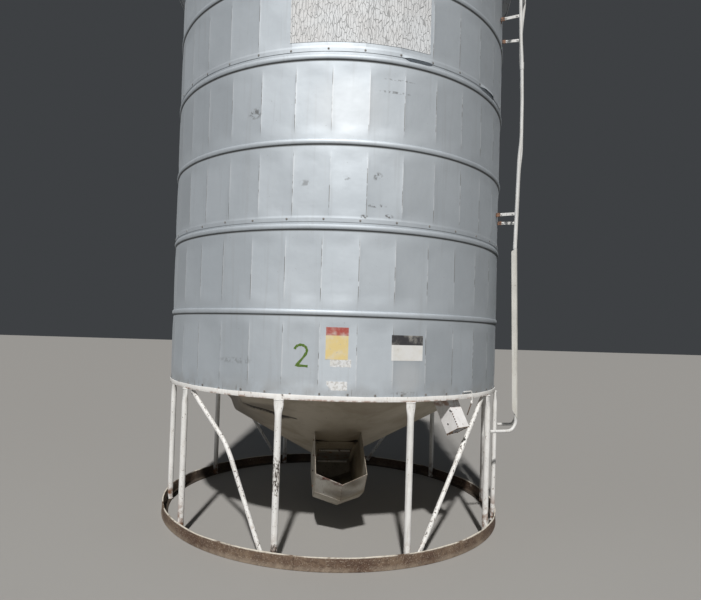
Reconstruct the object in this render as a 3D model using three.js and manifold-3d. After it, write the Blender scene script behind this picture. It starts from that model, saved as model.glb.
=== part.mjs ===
// Farm grain silo on a leg ring: beaded sheet wall, hopper cone, discharge boot with a
// slide gate, bagging spout, conical roof with a lid and a side ladder. Millimetres,
// +Z up, ground at z = 0, silo axis at x = y = 0, discharge boot towards -Y.
import * as THREE from 'three';
import { mergeVertices } from 'three/addons/utils/BufferGeometryUtils.js';
import Module from 'manifold-3d';

const wasm = await Module();
wasm.setup();

// Plate and gap sizes
const SEAT = 0.4; // gap between seated pieces
const SHEET = 5; // wall, cone and roof sheet as modelled
const PLATE = 4; // boot plate

// Wall
const WALL_R = 1500; // outer corner radius of the faceted wall
const FACETS = 36;
const HALF_FACET = Math.PI / FACETS;
const WALL_BOTTOM = 1154.4;
const LAP_LOW = 2389; // lower edge of the middle course
const LAP_HIGH = 3587; // lower edge of the upper course
const EAVE_Z = 4750; // underside of the roof at its rim
const EAVE_R = 1575;
const ROOF_SLOPE = Math.tan(THREE.MathUtils.degToRad(30));
const BEAD_OUT = 11;
const BEAD_HALF = 20;
const BEADS = [1757, 2354, 2951, 3548, 4145];
const PHASE_OUTER = 2.4; // facet edge direction of the lower and upper course, degrees
const PHASE_MIDDLE = 3.9;

// Rings and legs
const LEGS = 10;
const LEG_STEP = 36;
const LEG_FIRST = 18;
const LEG_R = 1505.5;
const LEG_RADIUS = 24.15;
const RING_SIDES = 90;
const BASE_OUT = 1540;
const BASE_TOP = 103;
const BASE_FLANGE = 8;
const BEAM_BOTTOM = 1148;
const BEAM_TOP = 1184;
const POST_AZ = 70;
const POST_R = 1509.4;
const POST_RADIUS = 19;
const BRACE_RADIUS = 17;

// Hopper cone
const CONE_APEX = 355; // height where the cone's lower face would meet the axis
const CONE_SLOPE = 0.582;
const CONE_TILT = Math.atan(CONE_SLOPE);
const CONE_TIP_R = 60;
const CONE_RIM_R = 1494.4;

// Discharge boot
const BOOT_X = 10;
const BOOT_HALF = 190; // inner half width
const BOOT_BACK = 83;
const BOOT_SHOULDER = [-745, 802]; // where the sides' upper edge leaves the cone
const KEEL_X = 17;
// Trough of the boot from the back to its front edge: (y, z) beside the sides and at the keel
const TROUGH = [
  [BOOT_BACK, 257, BOOT_BACK, 190], [-720, 257, -720, 190], [-1012, 387, -1068, 336],
  [-1185, 568, -1224, 499]];
const THROAT_LOW = [-62, 389.9];
const GATE_LOW = 70; // distances up the slope from the throat's lower bend
const GATE_HIGH = 394;
const HOLE_LOW = 92;
const HOLE_HIGH = 372;

// Bagging spout
const SPOUT_AZ = 36.2;
const SPOUT_R = 1354.5; // where its axis meets the cone's underside
const SPOUT_ACROSS = 66; // outer half sizes across and up the cone
const SPOUT_UP = 63;
const SPOUT_DEPTH = 265;

// Ladder, bowed outwards between its two pairs of wall brackets
const LADDER_AZ = 67;
const LADDER_HALF = 175;
const LADDER_LINE = [ // height and radius of its bends
  [910, 1687], [2420, 1648], [3140, 1665], [3300, 1680], [3620, 1679], [3990, 1670],
  [4140, 1660], [4500, 1650], [5120, 1650]];
const SPLAY_FROM = 4360; // the far stringer leans out above this height
const SPLAY_TO = 4640;
const SPLAY = 28;
const STRINGER = 13.5;
const RUNG = 10;
const RUNG_PITCH = 305;
const LADDER_FOOT = 850;
const LADDER_SPLITS = [700, 2383, 3907, 5500]; // ends of the three lengths
const BRACKETS = [[2668, 2660], [4362, 4335]]; // heights on the near and far stringer
const GUARD_LOW = 954;
const GUARD_HIGH = 2358;
const GUARD_SHEET = 3;
const GUARD_FLANGE = 28; // reach of the side flanges behind the stringers
const GUARD_CORNER = 18; // cut off the flanges at their top
const GUARD_SLANT = 68; // rise of their slanted lower ends

const rad = THREE.MathUtils.degToRad;
const roofUnder = (r) => EAVE_Z + (EAVE_R - r) * ROOF_SLOPE;
const coneUnder = (r) => CONE_APEX + CONE_SLOPE * r;

/** Point at radius r and height z, azimuth in degrees from -Y towards +X. */
function polar(r, az, z) {
  const a = rad(az);
  return new THREE.Vector3(r * Math.sin(a), -r * Math.cos(a), z);
}

/** Geometry from positions and triangles, with its faces turned outwards. */
function solid(points, triangles) {
  const kept = triangles.filter(([a, b, c]) => a !== b && b !== c && a !== c);
  let volume = 0;
  for (const [a, b, c] of kept) {
    volume += points[a].dot(points[b].clone().cross(points[c]));
  }
  const geometry = new THREE.BufferGeometry();
  const flat = points.flatMap((p) => [p.x, p.y, p.z]);
  geometry.setAttribute('position', new THREE.Float32BufferAttribute(flat, 3));
  geometry.setIndex(kept.flatMap(([a, b, c]) => (volume < 0 ? [a, c, b] : [a, b, c])));
  return geometry;
}

/**
 * Sweeps a closed (r, z) profile about the axis. The azimuths list holds the corner
 * directions in degrees; place(r, az, z) gives the point, so a caller can dent it.
 */
function sweep(profile, azimuths, closed, place = polar) {
  const n = profile.length;
  const points = azimuths.flatMap((az) => profile.map(([r, z]) => place(r, az, z)));
  const poles = profile.map(([r], j) => (r < 1e-6 ? j : -1));
  const id = (i, j) => (poles[j] >= 0 ? j : i * n + j);
  const triangles = [];
  const spans = closed ? azimuths.length : azimuths.length - 1;
  for (let i = 0; i < spans; i += 1) {
    const next = (i + 1) % azimuths.length;
    for (let j = 0; j < n; j += 1) {
      const k = (j + 1) % n;
      triangles.push([id(i, j), id(next, j), id(next, k)], [id(i, j), id(next, k), id(i, k)]);
    }
  }
  if (!closed) {
    const outline = profile.map(([r, z]) => new THREE.Vector2(r, z));
    const last = azimuths.length - 1;
    for (const [a, b, c] of THREE.ShapeUtils.triangulateShape(outline, [])) {
      triangles.push([id(0, a), id(0, b), id(0, c)], [id(last, a), id(last, c), id(last, b)]);
    }
  }
  return solid(points, triangles);
}

/** Evenly spaced corner directions of a whole turn. */
function fullTurn(sides, phase) {
  return Array.from({ length: sides }, (_, i) => phase + (i * 360) / sides);
}

/** Corner directions of one span, with the end faces set back by half a gap. */
function span(start, count, step, radius) {
  const back = THREE.MathUtils.radToDeg(SEAT / 2 / radius);
  const list = Array.from({ length: count + 1 }, (_, i) => start + i * step);
  list[0] += back;
  list[count] -= back;
  return list;
}

/** Round bar or pipe along a polyline, mitred at its bends. */
function pipe(path, radius, sides) {
  const dirs = path.slice(1).map((p, i) => p.clone().sub(path[i]).normalize());
  const start = new THREE.Vector3(0, 0, 1);
  if (Math.abs(dirs[0].z) > 0.9) start.set(1, 0, 0);
  const u = start.cross(dirs[0]).normalize();
  const v = dirs[0].clone().cross(u);
  let ring = Array.from({ length: sides }, (_, i) => {
    const a = (2 * Math.PI * (i + 0.5)) / sides;
    return path[0].clone().addScaledVector(u, radius * Math.cos(a))
      .addScaledVector(v, radius * Math.sin(a));
  });
  const points = [...ring];
  for (let k = 1; k < path.length; k += 1) {
    const normal = dirs[k - 1].clone();
    if (k < dirs.length) normal.add(dirs[k]).normalize();
    const along = dirs[k - 1];
    ring = ring.map((p) => {
      const t = path[k].clone().sub(p).dot(normal) / along.dot(normal);
      return p.clone().addScaledVector(along, t);
    });
    points.push(...ring);
  }
  const triangles = [];
  for (let k = 0; k < path.length - 1; k += 1) {
    for (let i = 0; i < sides; i += 1) {
      const j = (i + 1) % sides;
      const a = k * sides;
      const b = a + sides;
      triangles.push([a + i, a + j, b + j], [a + i, b + j, b + i]);
    }
  }
  const last = (path.length - 1) * sides;
  for (let i = 1; i < sides - 1; i += 1) {
    triangles.push([0, i + 1, i], [last, last + i, last + i + 1]);
  }
  return solid(points, triangles);
}

/** Box between two corners. */
function box(x0, y0, z0, x1, y1, z1) {
  const geometry = new THREE.BoxGeometry(x1 - x0, y1 - y0, z1 - z0);
  return geometry.translate((x0 + x1) / 2, (y0 + y1) / 2, (z0 + z1) / 2);
}

/** Outline in the (y, z) plane pulled along X from x0 to x1. */
function sidePlate(outline, x0, x1) {
  const shape = new THREE.Shape(outline.map(([y, z]) => new THREE.Vector2(y, z)));
  const geometry = new THREE.ExtrudeGeometry(shape, { depth: x1 - x0, bevelEnabled: false });
  const axes = new THREE.Matrix4().makeBasis(
    new THREE.Vector3(0, 1, 0), new THREE.Vector3(0, 0, 1), new THREE.Vector3(1, 0, 0));
  return geometry.applyMatrix4(axes).translate(x0, 0, 0);
}

/** Outline in the (x, y) plane raised from z0 to z1. */
function flatPlate(outline, z0, z1) {
  const shape = new THREE.Shape(outline.map(([x, y]) => new THREE.Vector2(x, y)));
  return new THREE.ExtrudeGeometry(shape, { depth: z1 - z0, bevelEnabled: false })
    .translate(0, 0, z0);
}

function toManifold(geometry) {
  const bare = geometry.clone();
  bare.deleteAttribute('normal');
  bare.deleteAttribute('uv');
  const merged = mergeVertices(bare, 1e-4);
  return new wasm.Manifold(new wasm.Mesh({
    numProp: 3,
    vertProperties: new Float32Array(merged.attributes.position.array),
    triVerts: new Uint32Array(merged.index.array),
  }));
}

function fromManifold(body) {
  const mesh = body.getMesh();
  const geometry = new THREE.BufferGeometry();
  geometry.setAttribute('position', new THREE.BufferAttribute(mesh.vertProperties, 3));
  geometry.setIndex(new THREE.BufferAttribute(mesh.triVerts, 1));
  return geometry;
}

const join = (...parts) => parts.map(toManifold).reduce((a, b) => a.add(b));
const cut = (body, ...tools) => tools.map(toManifold).reduce((a, b) => a.subtract(b), body);

const PAINT = new THREE.MeshStandardMaterial({ color: 0xdcdcd4, roughness: 0.6 });
const RUST = new THREE.MeshStandardMaterial({ color: 0x6b4a3a, roughness: 0.9 });
const ZINC = new THREE.MeshStandardMaterial({ color: 0x9fa9b0, roughness: 0.5, metalness: 0.6 });
const CREAM = new THREE.MeshStandardMaterial({ color: 0xd2cfc0, roughness: 0.7 });

const silo = new THREE.Group();
silo.name = 'grain_silo';

function addPart(name, geometry, material) {
  geometry.computeVertexNormals();
  const mesh = new THREE.Mesh(geometry, material);
  mesh.name = name;
  silo.add(mesh);
}

// Base ring, a rolled angle that stands on the ground
const baseProfile = [
  [BASE_OUT - 58, 0], [BASE_OUT, 0], [BASE_OUT, BASE_TOP], [BASE_OUT - 10, BASE_TOP],
  [BASE_OUT - 10, BASE_FLANGE], [BASE_OUT - 58, BASE_FLANGE]];
addPart('base_ring', sweep(baseProfile, fullTurn(RING_SIDES, 2), true), RUST);

// Ring beam, an angle that carries the wall
const beamProfile = [
  [1462, BEAM_BOTTOM], [1507, BEAM_BOTTOM], [1507, BEAM_TOP], [WALL_R + SEAT, BEAM_TOP],
  [WALL_R + SEAT, BEAM_BOTTOM + 6], [1462, BEAM_BOTTOM + 6]];
addPart('ring_beam', sweep(beamProfile, fullTurn(2 * FACETS, PHASE_OUTER), true), PAINT);

// Legs and the post at the ladder
const upright = (r, az, radius) => pipe(
  [polar(r, az, BASE_FLANGE + SEAT), polar(r, az, BEAM_BOTTOM - SEAT)], radius, 24);
for (let i = 0; i < LEGS; i += 1) {
  const az = LEG_FIRST + i * LEG_STEP;
  addPart(`leg_${String(i + 1).padStart(2, '0')}`, upright(LEG_R, az, LEG_RADIUS), PAINT);
}
addPart('ladder_post', upright(POST_R, POST_AZ, POST_RADIUS), PAINT);

// Braces beside the front and rear bays; the front left one is bent
const braceTop = (az, drop = 10.5) => polar(1485, az, BEAM_BOTTOM - drop);
const braceFoot = (az) => polar(1509, az, 60);
const bentPath = [
  braceTop(-51, 13), new THREE.Vector3(-884, -1152, 823), new THREE.Vector3(-846, -1181, 765),
  new THREE.Vector3(-808, -1210, 690), new THREE.Vector3(-779, -1233, 617), braceFoot(-21.5)];
addPart('brace_front_left', pipe(bentPath, BRACE_RADIUS, 16), PAINT);
const straightBraces = [
  ['brace_front_right', 51, 21.5], ['brace_rear_left', -129, -158.5],
  ['brace_rear_right', 129, 158.5]];
for (const [name, top, foot] of straightBraces) {
  addPart(name, pipe([braceTop(top), braceFoot(foot)], BRACE_RADIUS, 16), PAINT);
}

/** Wall sheet profile with an outward bead at each given height. */
function wallProfile(z0, z1, beads) {
  const bump = beads.flatMap((z) => [
    [0, z - BEAD_HALF], [BEAD_OUT * 0.75, z - BEAD_HALF * 0.55], [BEAD_OUT, z],
    [BEAD_OUT * 0.75, z + BEAD_HALF * 0.55], [0, z + BEAD_HALF]]);
  const face = [[0, z0], ...bump, [0, z1]];
  const outer = face.map(([d, z]) => [WALL_R + d, z]);
  const inner = face.map(([d, z]) => [WALL_R - SHEET + d, z]).reverse();
  return [...outer, ...inner];
}

const WALL_TOP = roofUnder(WALL_R) - SEAT;
const courses = [
  ['lower', WALL_BOTTOM, LAP_LOW - SEAT / 2, BEADS.slice(0, 2), PHASE_OUTER],
  ['middle', LAP_LOW + SEAT / 2, LAP_HIGH - SEAT / 2, BEADS.slice(2, 4), PHASE_MIDDLE],
  ['upper', LAP_HIGH + SEAT / 2, WALL_TOP, BEADS.slice(4), PHASE_OUTER]];
const sides = ['front', 'right', 'left'];
for (const [course, z0, z1, beads, phase] of courses) {
  sides.forEach((side, i) => {
    const turn = span(phase - 60 + i * 120, FACETS / 3, 360 / FACETS, WALL_R);
    addPart(`wall_${course}_${side}`, sweep(wallProfile(z0, z1, beads), turn, false), ZINC);
  });
}

/** Depth of the dent in the cone's front left, pushed up into the sheet. */
function dent(r, az) {
  const across = (az + 28) / 9;
  const along = (r - 1050) / 120;
  return 55 * Math.exp(-(across ** 2) - along ** 2);
}

/** Point on the faceted cone, lifted by the dent. */
function conePoint(r, az, z) {
  const corner = 360 / FACETS;
  const off = ((((az - PHASE_OUTER) % corner) + corner) % corner) - corner / 2;
  const flat = Math.cos(HALF_FACET) / Math.cos(rad(off));
  return polar(r * flat, az, z + dent(r, az));
}

/** Whole cone below the hopper sheet, lowered a little, for cutting seated pieces. */
function coneBlock(drop) {
  const rim = 1620;
  const profile = [[0, CONE_APEX - drop], [rim, coneUnder(rim) - drop], [rim, 2000], [0, 2000]];
  return sweep(profile, fullTurn(FACETS, PHASE_OUTER), true);
}

/** Bagging spout frame: x across, y up the cone, z into the cone. */
function spoutFrame() {
  const outward = polar(1, SPOUT_AZ, 0);
  const across = polar(1, SPOUT_AZ - 90, 0);
  const up = outward.clone().multiplyScalar(Math.cos(CONE_TILT))
    .add(new THREE.Vector3(0, 0, Math.sin(CONE_TILT)));
  const into = across.clone().cross(up);
  const frame = new THREE.Matrix4().makeBasis(across, up, into);
  return frame.setPosition(polar(SPOUT_R, SPOUT_AZ, coneUnder(SPOUT_R)));
}
const spoutAt = spoutFrame();
const inSpout = (...corners) => box(...corners).applyMatrix4(spoutAt);

// Hopper cone, open over the boot's throat and the bagging spout
const coneRadii = [CONE_TIP_R, 200, 400, 600, 740, 820, 880, 930, 980, 1030, 1080, 1130,
  1180, 1240, 1320, 1410, CONE_RIM_R];
const coneProfile = [
  ...coneRadii.map((r) => [r, coneUnder(r)]),
  ...[...coneRadii].reverse().map((r) => [r, coneUnder(r) + SHEET / Math.cos(CONE_TILT)])];
const coneOpening = box(
  BOOT_X - 175, -560, CONE_APEX, BOOT_X + 175, -20, coneUnder(700));
const spoutOpening = inSpout(-50, -50, -40, 50, 50, 40);
sides.forEach((side, i) => {
  const turn = span(PHASE_OUTER - 60 + i * 120, 48, 2.5, WALL_R);
  const sheet = toManifold(sweep(coneProfile, turn, false, conePoint));
  addPart(`cone_${side}`, fromManifold(cut(sheet, coneOpening, spoutOpening)), CREAM);
});

// Discharge boot: two sides, a V-shaped trough in two lengths and a throat plate with runners
const bootSide = [
  ...TROUGH.map(([y, z]) => [y, z]).reverse(), [BOOT_BACK, 560], [-100, 620],
  [BOOT_SHOULDER[0], 900], BOOT_SHOULDER];
for (const [name, x] of [['boot_side_left', -BOOT_HALF - PLATE], ['boot_side_right', BOOT_HALF]]) {
  const plate = toManifold(sidePlate(bootSide, BOOT_X + x, BOOT_X + x + PLATE));
  addPart(name, fromManifold(cut(plate, coneBlock(SEAT))), CREAM);
}
const half = BOOT_HALF - SEAT;

/** V-shaped ring of the trough's sheet at a station, mitred between its neighbours. */
function troughRing([y, z, keelY, keelZ], i) {
  const before = TROUGH[Math.max(i - 1, 0)];
  const after = TROUGH[Math.min(i + 1, TROUGH.length - 1)];
  const along = new THREE.Vector2(after[0] - before[0], after[1] - before[1]).normalize();
  const inwards = new THREE.Vector3(0, along.y, -along.x).multiplyScalar(PLATE);
  const outer = [[BOOT_X - half, y, z], [KEEL_X, keelY, keelZ], [BOOT_X + half, y, z]]
    .map((p) => new THREE.Vector3(...p));
  return [...outer, ...outer.map((p) => p.clone().add(inwards)).reverse()];
}

/** Closed sheet through V-shaped rings of six points. */
function vSheet(rings) {
  const triangles = [];
  for (let k = 0; k < rings.length - 1; k += 1) {
    for (let i = 0; i < 6; i += 1) {
      const j = (i + 1) % 6;
      const [a, b] = [k * 6, k * 6 + 6];
      triangles.push([a + i, a + j, b + j], [a + i, b + j, b + i]);
    }
  }
  const last = (rings.length - 1) * 6;
  for (const [a, b, c] of [[0, 1, 4], [0, 4, 5], [1, 2, 3], [1, 3, 4]]) {
    triangles.push([a, c, b], [last + a, last + b, last + c]);
  }
  return solid(rings.flat(), triangles);
}
const troughRings = TROUGH.map(troughRing);
addPart('boot_floor', vSheet(troughRings.slice(0, 3)), CREAM);
addPart('boot_front', vSheet(troughRings.slice(2)).translate(0, -SEAT, SEAT), CREAM);

/** Boot slope frame: x across, y up the slope towards the front, z out of the hopper. */
function slopeFrame() {
  const across = new THREE.Vector3(1, 0, 0);
  const up = new THREE.Vector3(0, -Math.cos(CONE_TILT), Math.sin(CONE_TILT));
  const frame = new THREE.Matrix4().makeBasis(across, up, across.clone().cross(up));
  return frame.setPosition(BOOT_X, ...THROAT_LOW);
}
const slopeAt = slopeFrame();
const onSlope = (...corners) => box(...corners).applyMatrix4(slopeAt);

const bootBack = [
  [BOOT_X + half, THROAT_LOW[1]], [BOOT_X - half, THROAT_LOW[1]],
  [BOOT_X - half, TROUGH[0][1] + PLATE + SEAT], [KEEL_X, TROUGH[0][3] + PLATE + SEAT],
  [BOOT_X + half, TROUGH[0][1] + PLATE + SEAT]].map(([x, z]) => [-x, z]);
const throatTop = 583;
const throatBend = PLATE * Math.tan(CONE_TILT / 2);
const throat = [
  onSlope(-half, 0, 0, half, throatTop, PLATE),
  box(BOOT_X - half, THROAT_LOW[0] - throatBend, THROAT_LOW[1] - PLATE,
    BOOT_X + half, BOOT_BACK, THROAT_LOW[1]),
  sidePlate(bootBack, BOOT_BACK - PLATE, BOOT_BACK).rotateZ(Math.PI / 2)];
for (const s of [-1, 1]) {
  const web = [s * 167, s * 171].sort((a, b) => a - b);
  const flange = [s * 148, s * 171].sort((a, b) => a - b);
  throat.push(onSlope(web[0], 56, PLATE - 1, web[1], throatTop, 23));
  throat.push(onSlope(flange[0], 56, 19, flange[1], throatTop, 23));
}
throat.push(onSlope(-171, GATE_LOW - 12, PLATE - 1, 171, GATE_LOW - SEAT, 23));
const throatHole = onSlope(-140, HOLE_LOW, -10, 140, HOLE_HIGH, 12);
addPart('boot_throat', fromManifold(cut(join(...throat), throatHole)), CREAM);

// Slide gate with a turned lip at both ends
const gate = [
  onSlope(-160, GATE_LOW, 9.5, 160, GATE_HIGH, 13),
  onSlope(-138, GATE_HIGH - 4, 12, 138, GATE_HIGH, 44),
  onSlope(-138, GATE_LOW, 12, 138, GATE_LOW + 4, 30)];
const gateNotch = onSlope(-76, GATE_HIGH - 10, 28, -62, GATE_HIGH + 10, 60);
addPart('slide_gate', fromManifold(cut(join(...gate), gateNotch)), ZINC);

// Bagging spout, a square box that stands on the cone's underside, open at its lower end
const spoutBody = toManifold(inSpout(
  -SPOUT_ACROSS, -SPOUT_UP, -SPOUT_DEPTH, SPOUT_ACROSS, SPOUT_UP, 60));
const boreAcross = SPOUT_ACROSS - PLATE;
const boreUp = SPOUT_UP - PLATE;
const spoutBore = inSpout(-boreAcross, -boreUp, -SPOUT_DEPTH - 30, boreAcross, boreUp, 80);
addPart('bagging_spout', fromManifold(cut(spoutBody, spoutBore, coneBlock(SEAT))), PAINT);

// Hook rod that hangs over the ring beam beside the spout
const hookPath = [
  polar(1511.5, 37.4, 1204), polar(1511.5, 41.4, 1204), polar(1511.5, 41.8, 1130),
  polar(1511.5, 39.3, 1026)];
addPart('spout_hook', pipe(hookPath, 5, 10), RUST);

// Roof sheets with a turned-down rim, filler collar and lid
const roofThick = SHEET * Math.hypot(1, ROOF_SLOPE);
const roofIn = 257.6;
const roofProfile = [
  [EAVE_R - 4, roofUnder(EAVE_R) - 18], [EAVE_R, roofUnder(EAVE_R) - 18],
  [EAVE_R, roofUnder(EAVE_R) + roofThick], [roofIn, roofUnder(roofIn) + roofThick],
  [roofIn, roofUnder(roofIn)], [EAVE_R - 4, roofUnder(EAVE_R - 4)]];
sides.forEach((side, i) => {
  const turn = span(PHASE_OUTER - 60 + i * 120, FACETS / 3, 360 / FACETS, WALL_R);
  addPart(`roof_${side}`, sweep(roofProfile, turn, false), ZINC);
});
const collar = [[251, 5490], [256, 5490], [256, 5620], [251, 5620]];
addPart('filler_collar', sweep(collar, fullTurn(48, 0), true), ZINC);
const lid = [
  [0, 5690], [292, 5640], [292, 5598], [288, 5598], [288, 5620 + SEAT], [0, 5620 + SEAT]];
addPart('filler_lid', sweep(lid, fullTurn(48, 0), true), ZINC);

// Ladder in three lengths: stringers returned to the leg and post below and to the roof
const ladderOut = polar(1, LADDER_AZ, 0);
const ladderAcross = polar(1, LADDER_AZ + 90, 0);
const onLadder = (across, r, z) => ladderOut.clone().multiplyScalar(r)
  .addScaledVector(ladderAcross, across).setZ(z);
const roofLanding = (r) => roofUnder(r) + roofThick + 3;
const clamp = THREE.MathUtils.clamp;

/** Radius of a stringer at height z: side is -1 for the near one and 1 for the far one. */
function stringerR(side, z) {
  const last = LADDER_LINE.length - 1;
  let i = 0;
  while (i < last - 1 && z > LADDER_LINE[i + 1][0]) i += 1;
  const [[z0, r0], [z1, r1]] = [LADDER_LINE[i], LADDER_LINE[i + 1]];
  const r = r0 + (r1 - r0) * clamp((z - z0) / (z1 - z0), 0, 1);
  if (side < 0) return r;
  return r + SPLAY * clamp((z - SPLAY_FROM) / (SPLAY_TO - SPLAY_FROM), 0, 1);
}
const onStringer = (side, z) => onLadder(side * LADDER_HALF, stringerR(side, z), z);

function stringer(side, anchor) {
  const top = LADDER_LINE[LADDER_LINE.length - 1][0];
  const foot = new THREE.Vector3(anchor.x, anchor.y, LADDER_FOOT);
  const turned = onStringer(side, LADDER_FOOT).lerp(foot, 0.16);
  const kinks = [...LADDER_LINE.map(([z]) => z), SPLAY_FROM, SPLAY_TO].sort((a, b) => a - b);
  const inwards = (back, z) => onLadder(side * LADDER_HALF, stringerR(side, top) - back, z);
  const landing = roofLanding(stringerR(side, top) - 350);
  return pipe([
    foot, turned, ...kinks.map((z) => onStringer(side, z)),
    inwards(70, 5230), inwards(220, 5250), inwards(320, 5190), inwards(350, landing)],
  STRINGER, 12);
}
const nearAnchor = polar(LEG_R, LEG_FIRST + LEG_STEP, 0);
const farAnchor = polar(POST_R, POST_AZ, 0);
const ladder = [stringer(-1, nearAnchor), stringer(1, farAnchor)];
for (let z = 1010; z < 5100; z += RUNG_PITCH) {
  ladder.push(pipe([onStringer(-1, z), onStringer(1, z)], RUNG, 10));
}
for (const heights of BRACKETS) {
  heights.forEach((z, i) => {
    const end = onStringer(2 * i - 1, z);
    const bar = box(-4, -Math.hypot(end.x, end.y), z - 12.5, 4, -1480, z + 12.5);
    const turn = new THREE.Matrix4().makeRotationZ(Math.atan2(end.x, -end.y));
    ladder.push(bar.applyMatrix4(turn));
  });
}
const wallBlock = (phase, z0, z1) => sweep(
  [[0, z0], [WALL_R + SEAT, z0], [WALL_R + SEAT, z1], [0, z1]], fullTurn(FACETS, phase), true);
const anchorBlock = (at, radius) => pipe(
  [new THREE.Vector3(at.x, at.y, 700), new THREE.Vector3(at.x, at.y, 1000)], radius, 48);
const ladderBody = cut(join(...ladder), wallBlock(PHASE_MIDDLE, 2400, 3500),
  wallBlock(PHASE_OUTER, 3600, 4700), anchorBlock(nearAnchor, LEG_RADIUS + SEAT),
  anchorBlock(farAnchor, POST_RADIUS + SEAT));
['lower', 'middle', 'upper'].forEach((name, i) => {
  const [z0, z1] = [LADDER_SPLITS[i] + SEAT / 2, LADDER_SPLITS[i + 1] - SEAT / 2];
  const length = toManifold(box(500, -1500, z0, 2000, 0, z1));
  addPart(`ladder_${name}`, fromManifold(ladderBody.intersect(length)), PAINT);
});

// Climbing guard, a folded sheet over the ladder's lower part, in the ladder's own frame
const guardHalf = LADDER_HALF + STRINGER + SEAT;
const guardEdge = (offset, z) => [-stringerR(-1, z) - offset, z];
const guardIn = STRINGER + SEAT;
const guardOut = guardIn + GUARD_SHEET;
const guardFace = sidePlate([
  guardEdge(guardIn, GUARD_LOW), guardEdge(guardOut, GUARD_LOW),
  guardEdge(guardOut, GUARD_HIGH), guardEdge(guardIn, GUARD_HIGH)], -guardHalf, guardHalf);
const guardSide = [
  guardEdge(guardOut, GUARD_LOW), guardEdge(guardOut, GUARD_HIGH),
  guardEdge(GUARD_CORNER - GUARD_FLANGE, GUARD_HIGH),
  guardEdge(-GUARD_FLANGE, GUARD_HIGH - GUARD_CORNER),
  guardEdge(-GUARD_FLANGE, GUARD_LOW + GUARD_SLANT)];
const guard = join(
  guardFace, sidePlate(guardSide, -guardHalf - GUARD_SHEET, -guardHalf),
  sidePlate(guardSide, guardHalf, guardHalf + GUARD_SHEET));
addPart('ladder_guard', fromManifold(guard).rotateZ(rad(LADDER_AZ)), PAINT);

export default silo;
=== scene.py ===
"""Looks of a farm grain silo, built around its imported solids. Metres, +Z up, boot towards -Y."""

import functools
import logging
import math
from collections.abc import Callable, Sequence
from dataclasses import dataclass
from enum import Enum

import bmesh
import bpy
import numpy as np
from mathutils import Matrix, Vector


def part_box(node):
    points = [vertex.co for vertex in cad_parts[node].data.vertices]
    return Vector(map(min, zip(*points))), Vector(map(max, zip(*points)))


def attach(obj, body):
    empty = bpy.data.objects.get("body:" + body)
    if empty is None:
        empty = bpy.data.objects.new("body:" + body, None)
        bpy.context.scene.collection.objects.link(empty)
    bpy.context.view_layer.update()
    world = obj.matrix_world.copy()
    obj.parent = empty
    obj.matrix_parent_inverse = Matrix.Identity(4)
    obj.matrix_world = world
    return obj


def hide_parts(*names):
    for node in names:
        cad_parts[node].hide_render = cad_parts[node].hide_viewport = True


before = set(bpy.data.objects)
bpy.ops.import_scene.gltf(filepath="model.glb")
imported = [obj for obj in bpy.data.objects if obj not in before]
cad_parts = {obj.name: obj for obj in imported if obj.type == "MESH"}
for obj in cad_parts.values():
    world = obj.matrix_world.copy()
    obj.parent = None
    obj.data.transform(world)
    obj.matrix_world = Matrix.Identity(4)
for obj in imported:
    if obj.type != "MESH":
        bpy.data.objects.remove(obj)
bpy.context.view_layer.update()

LOG = logging.getLogger("grain_silo")
SILO_BODY = "silo"
GATE_BODY = "gate"
Pair = tuple[float, float]
Colour = tuple[float, float, float]
Material = bpy.types.Material
Piece = bpy.types.Object
Tree = bpy.types.NodeTree
Node = bpy.types.Node
Socket = bpy.types.NodeSocket
Section = list[tuple[np.ndarray | float, np.ndarray | float]]


class Slot(Enum):
    """Material slots of the record."""

    ZINC = "galvanised_sheet"
    WHITE = "white_paint"
    CREAM = "cream_paint"
    RUSTY = "rusty_steel"


@dataclass(frozen=True)
class SiloSizes:
    """Driving sizes that the sub-assemblies share, in metres and degrees."""

    wall_radius: float = 1.5
    facets: int = 36
    phase_outer: float = 2.4
    phase_middle: float = 3.9
    wall_bottom: float = 1.1548
    lap_low: float = 2.389
    lap_high: float = 3.587
    first_bead: float = 1.757
    bead_pitch: float = 0.597
    bead_out: float = 0.011
    bead_half: float = 0.02
    flat_from_bead: Pair = (0.045, 0.14)
    eave_height: float = 4.75
    eave_radius: float = 1.575
    roof_slope: float = math.tan(math.radians(30))
    cone_apex: float = 0.355
    cone_slope: float = 0.582
    beam_bottom: float = 1.148
    beam_top: float = 1.184
    flange_top: float = 0.0084
    leg_circle: float = 1.5055
    post_circle: float = 1.5094

    @property
    def facet_angle(self) -> float:
        """Angle of one facet in degrees."""
        return 360 / self.facets

    @property
    def facet_width(self) -> float:
        """Width of one facet."""
        return 2 * math.pi * self.wall_radius / self.facets

    @property
    def degree_length(self) -> float:
        """Length of one degree along the wall."""
        return math.radians(1) * self.wall_radius

    def roof_under(self, radius: float) -> float:
        """Height of the roof's underside at a radius."""
        return self.eave_height + (self.eave_radius - radius) * self.roof_slope

    def cone_under(self, radius: float) -> float:
        """Height of the hopper cone's underside at a radius."""
        return self.cone_apex + self.cone_slope * radius


SIZES = SiloSizes()


def polar(radius: float, azimuth: float, height: float) -> Vector:
    """Point at a radius and height, azimuth in degrees from -Y towards +X."""
    turn = math.radians(azimuth)
    return Vector((radius * math.sin(turn), -radius * math.cos(turn), height))


def smooth_step(low: float, high: float, value: np.ndarray) -> np.ndarray:
    """Rises smoothly from 0 at low to 1 at high."""
    share = np.clip((value - low) / (high - low), 0, 1)
    return share * share * (3 - 2 * share)


def bump(value: np.ndarray, centre: float, width: float) -> np.ndarray:
    """Bell of height 1 at the centre."""
    return np.exp(-(((value - centre) / width) ** 2))


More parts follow.
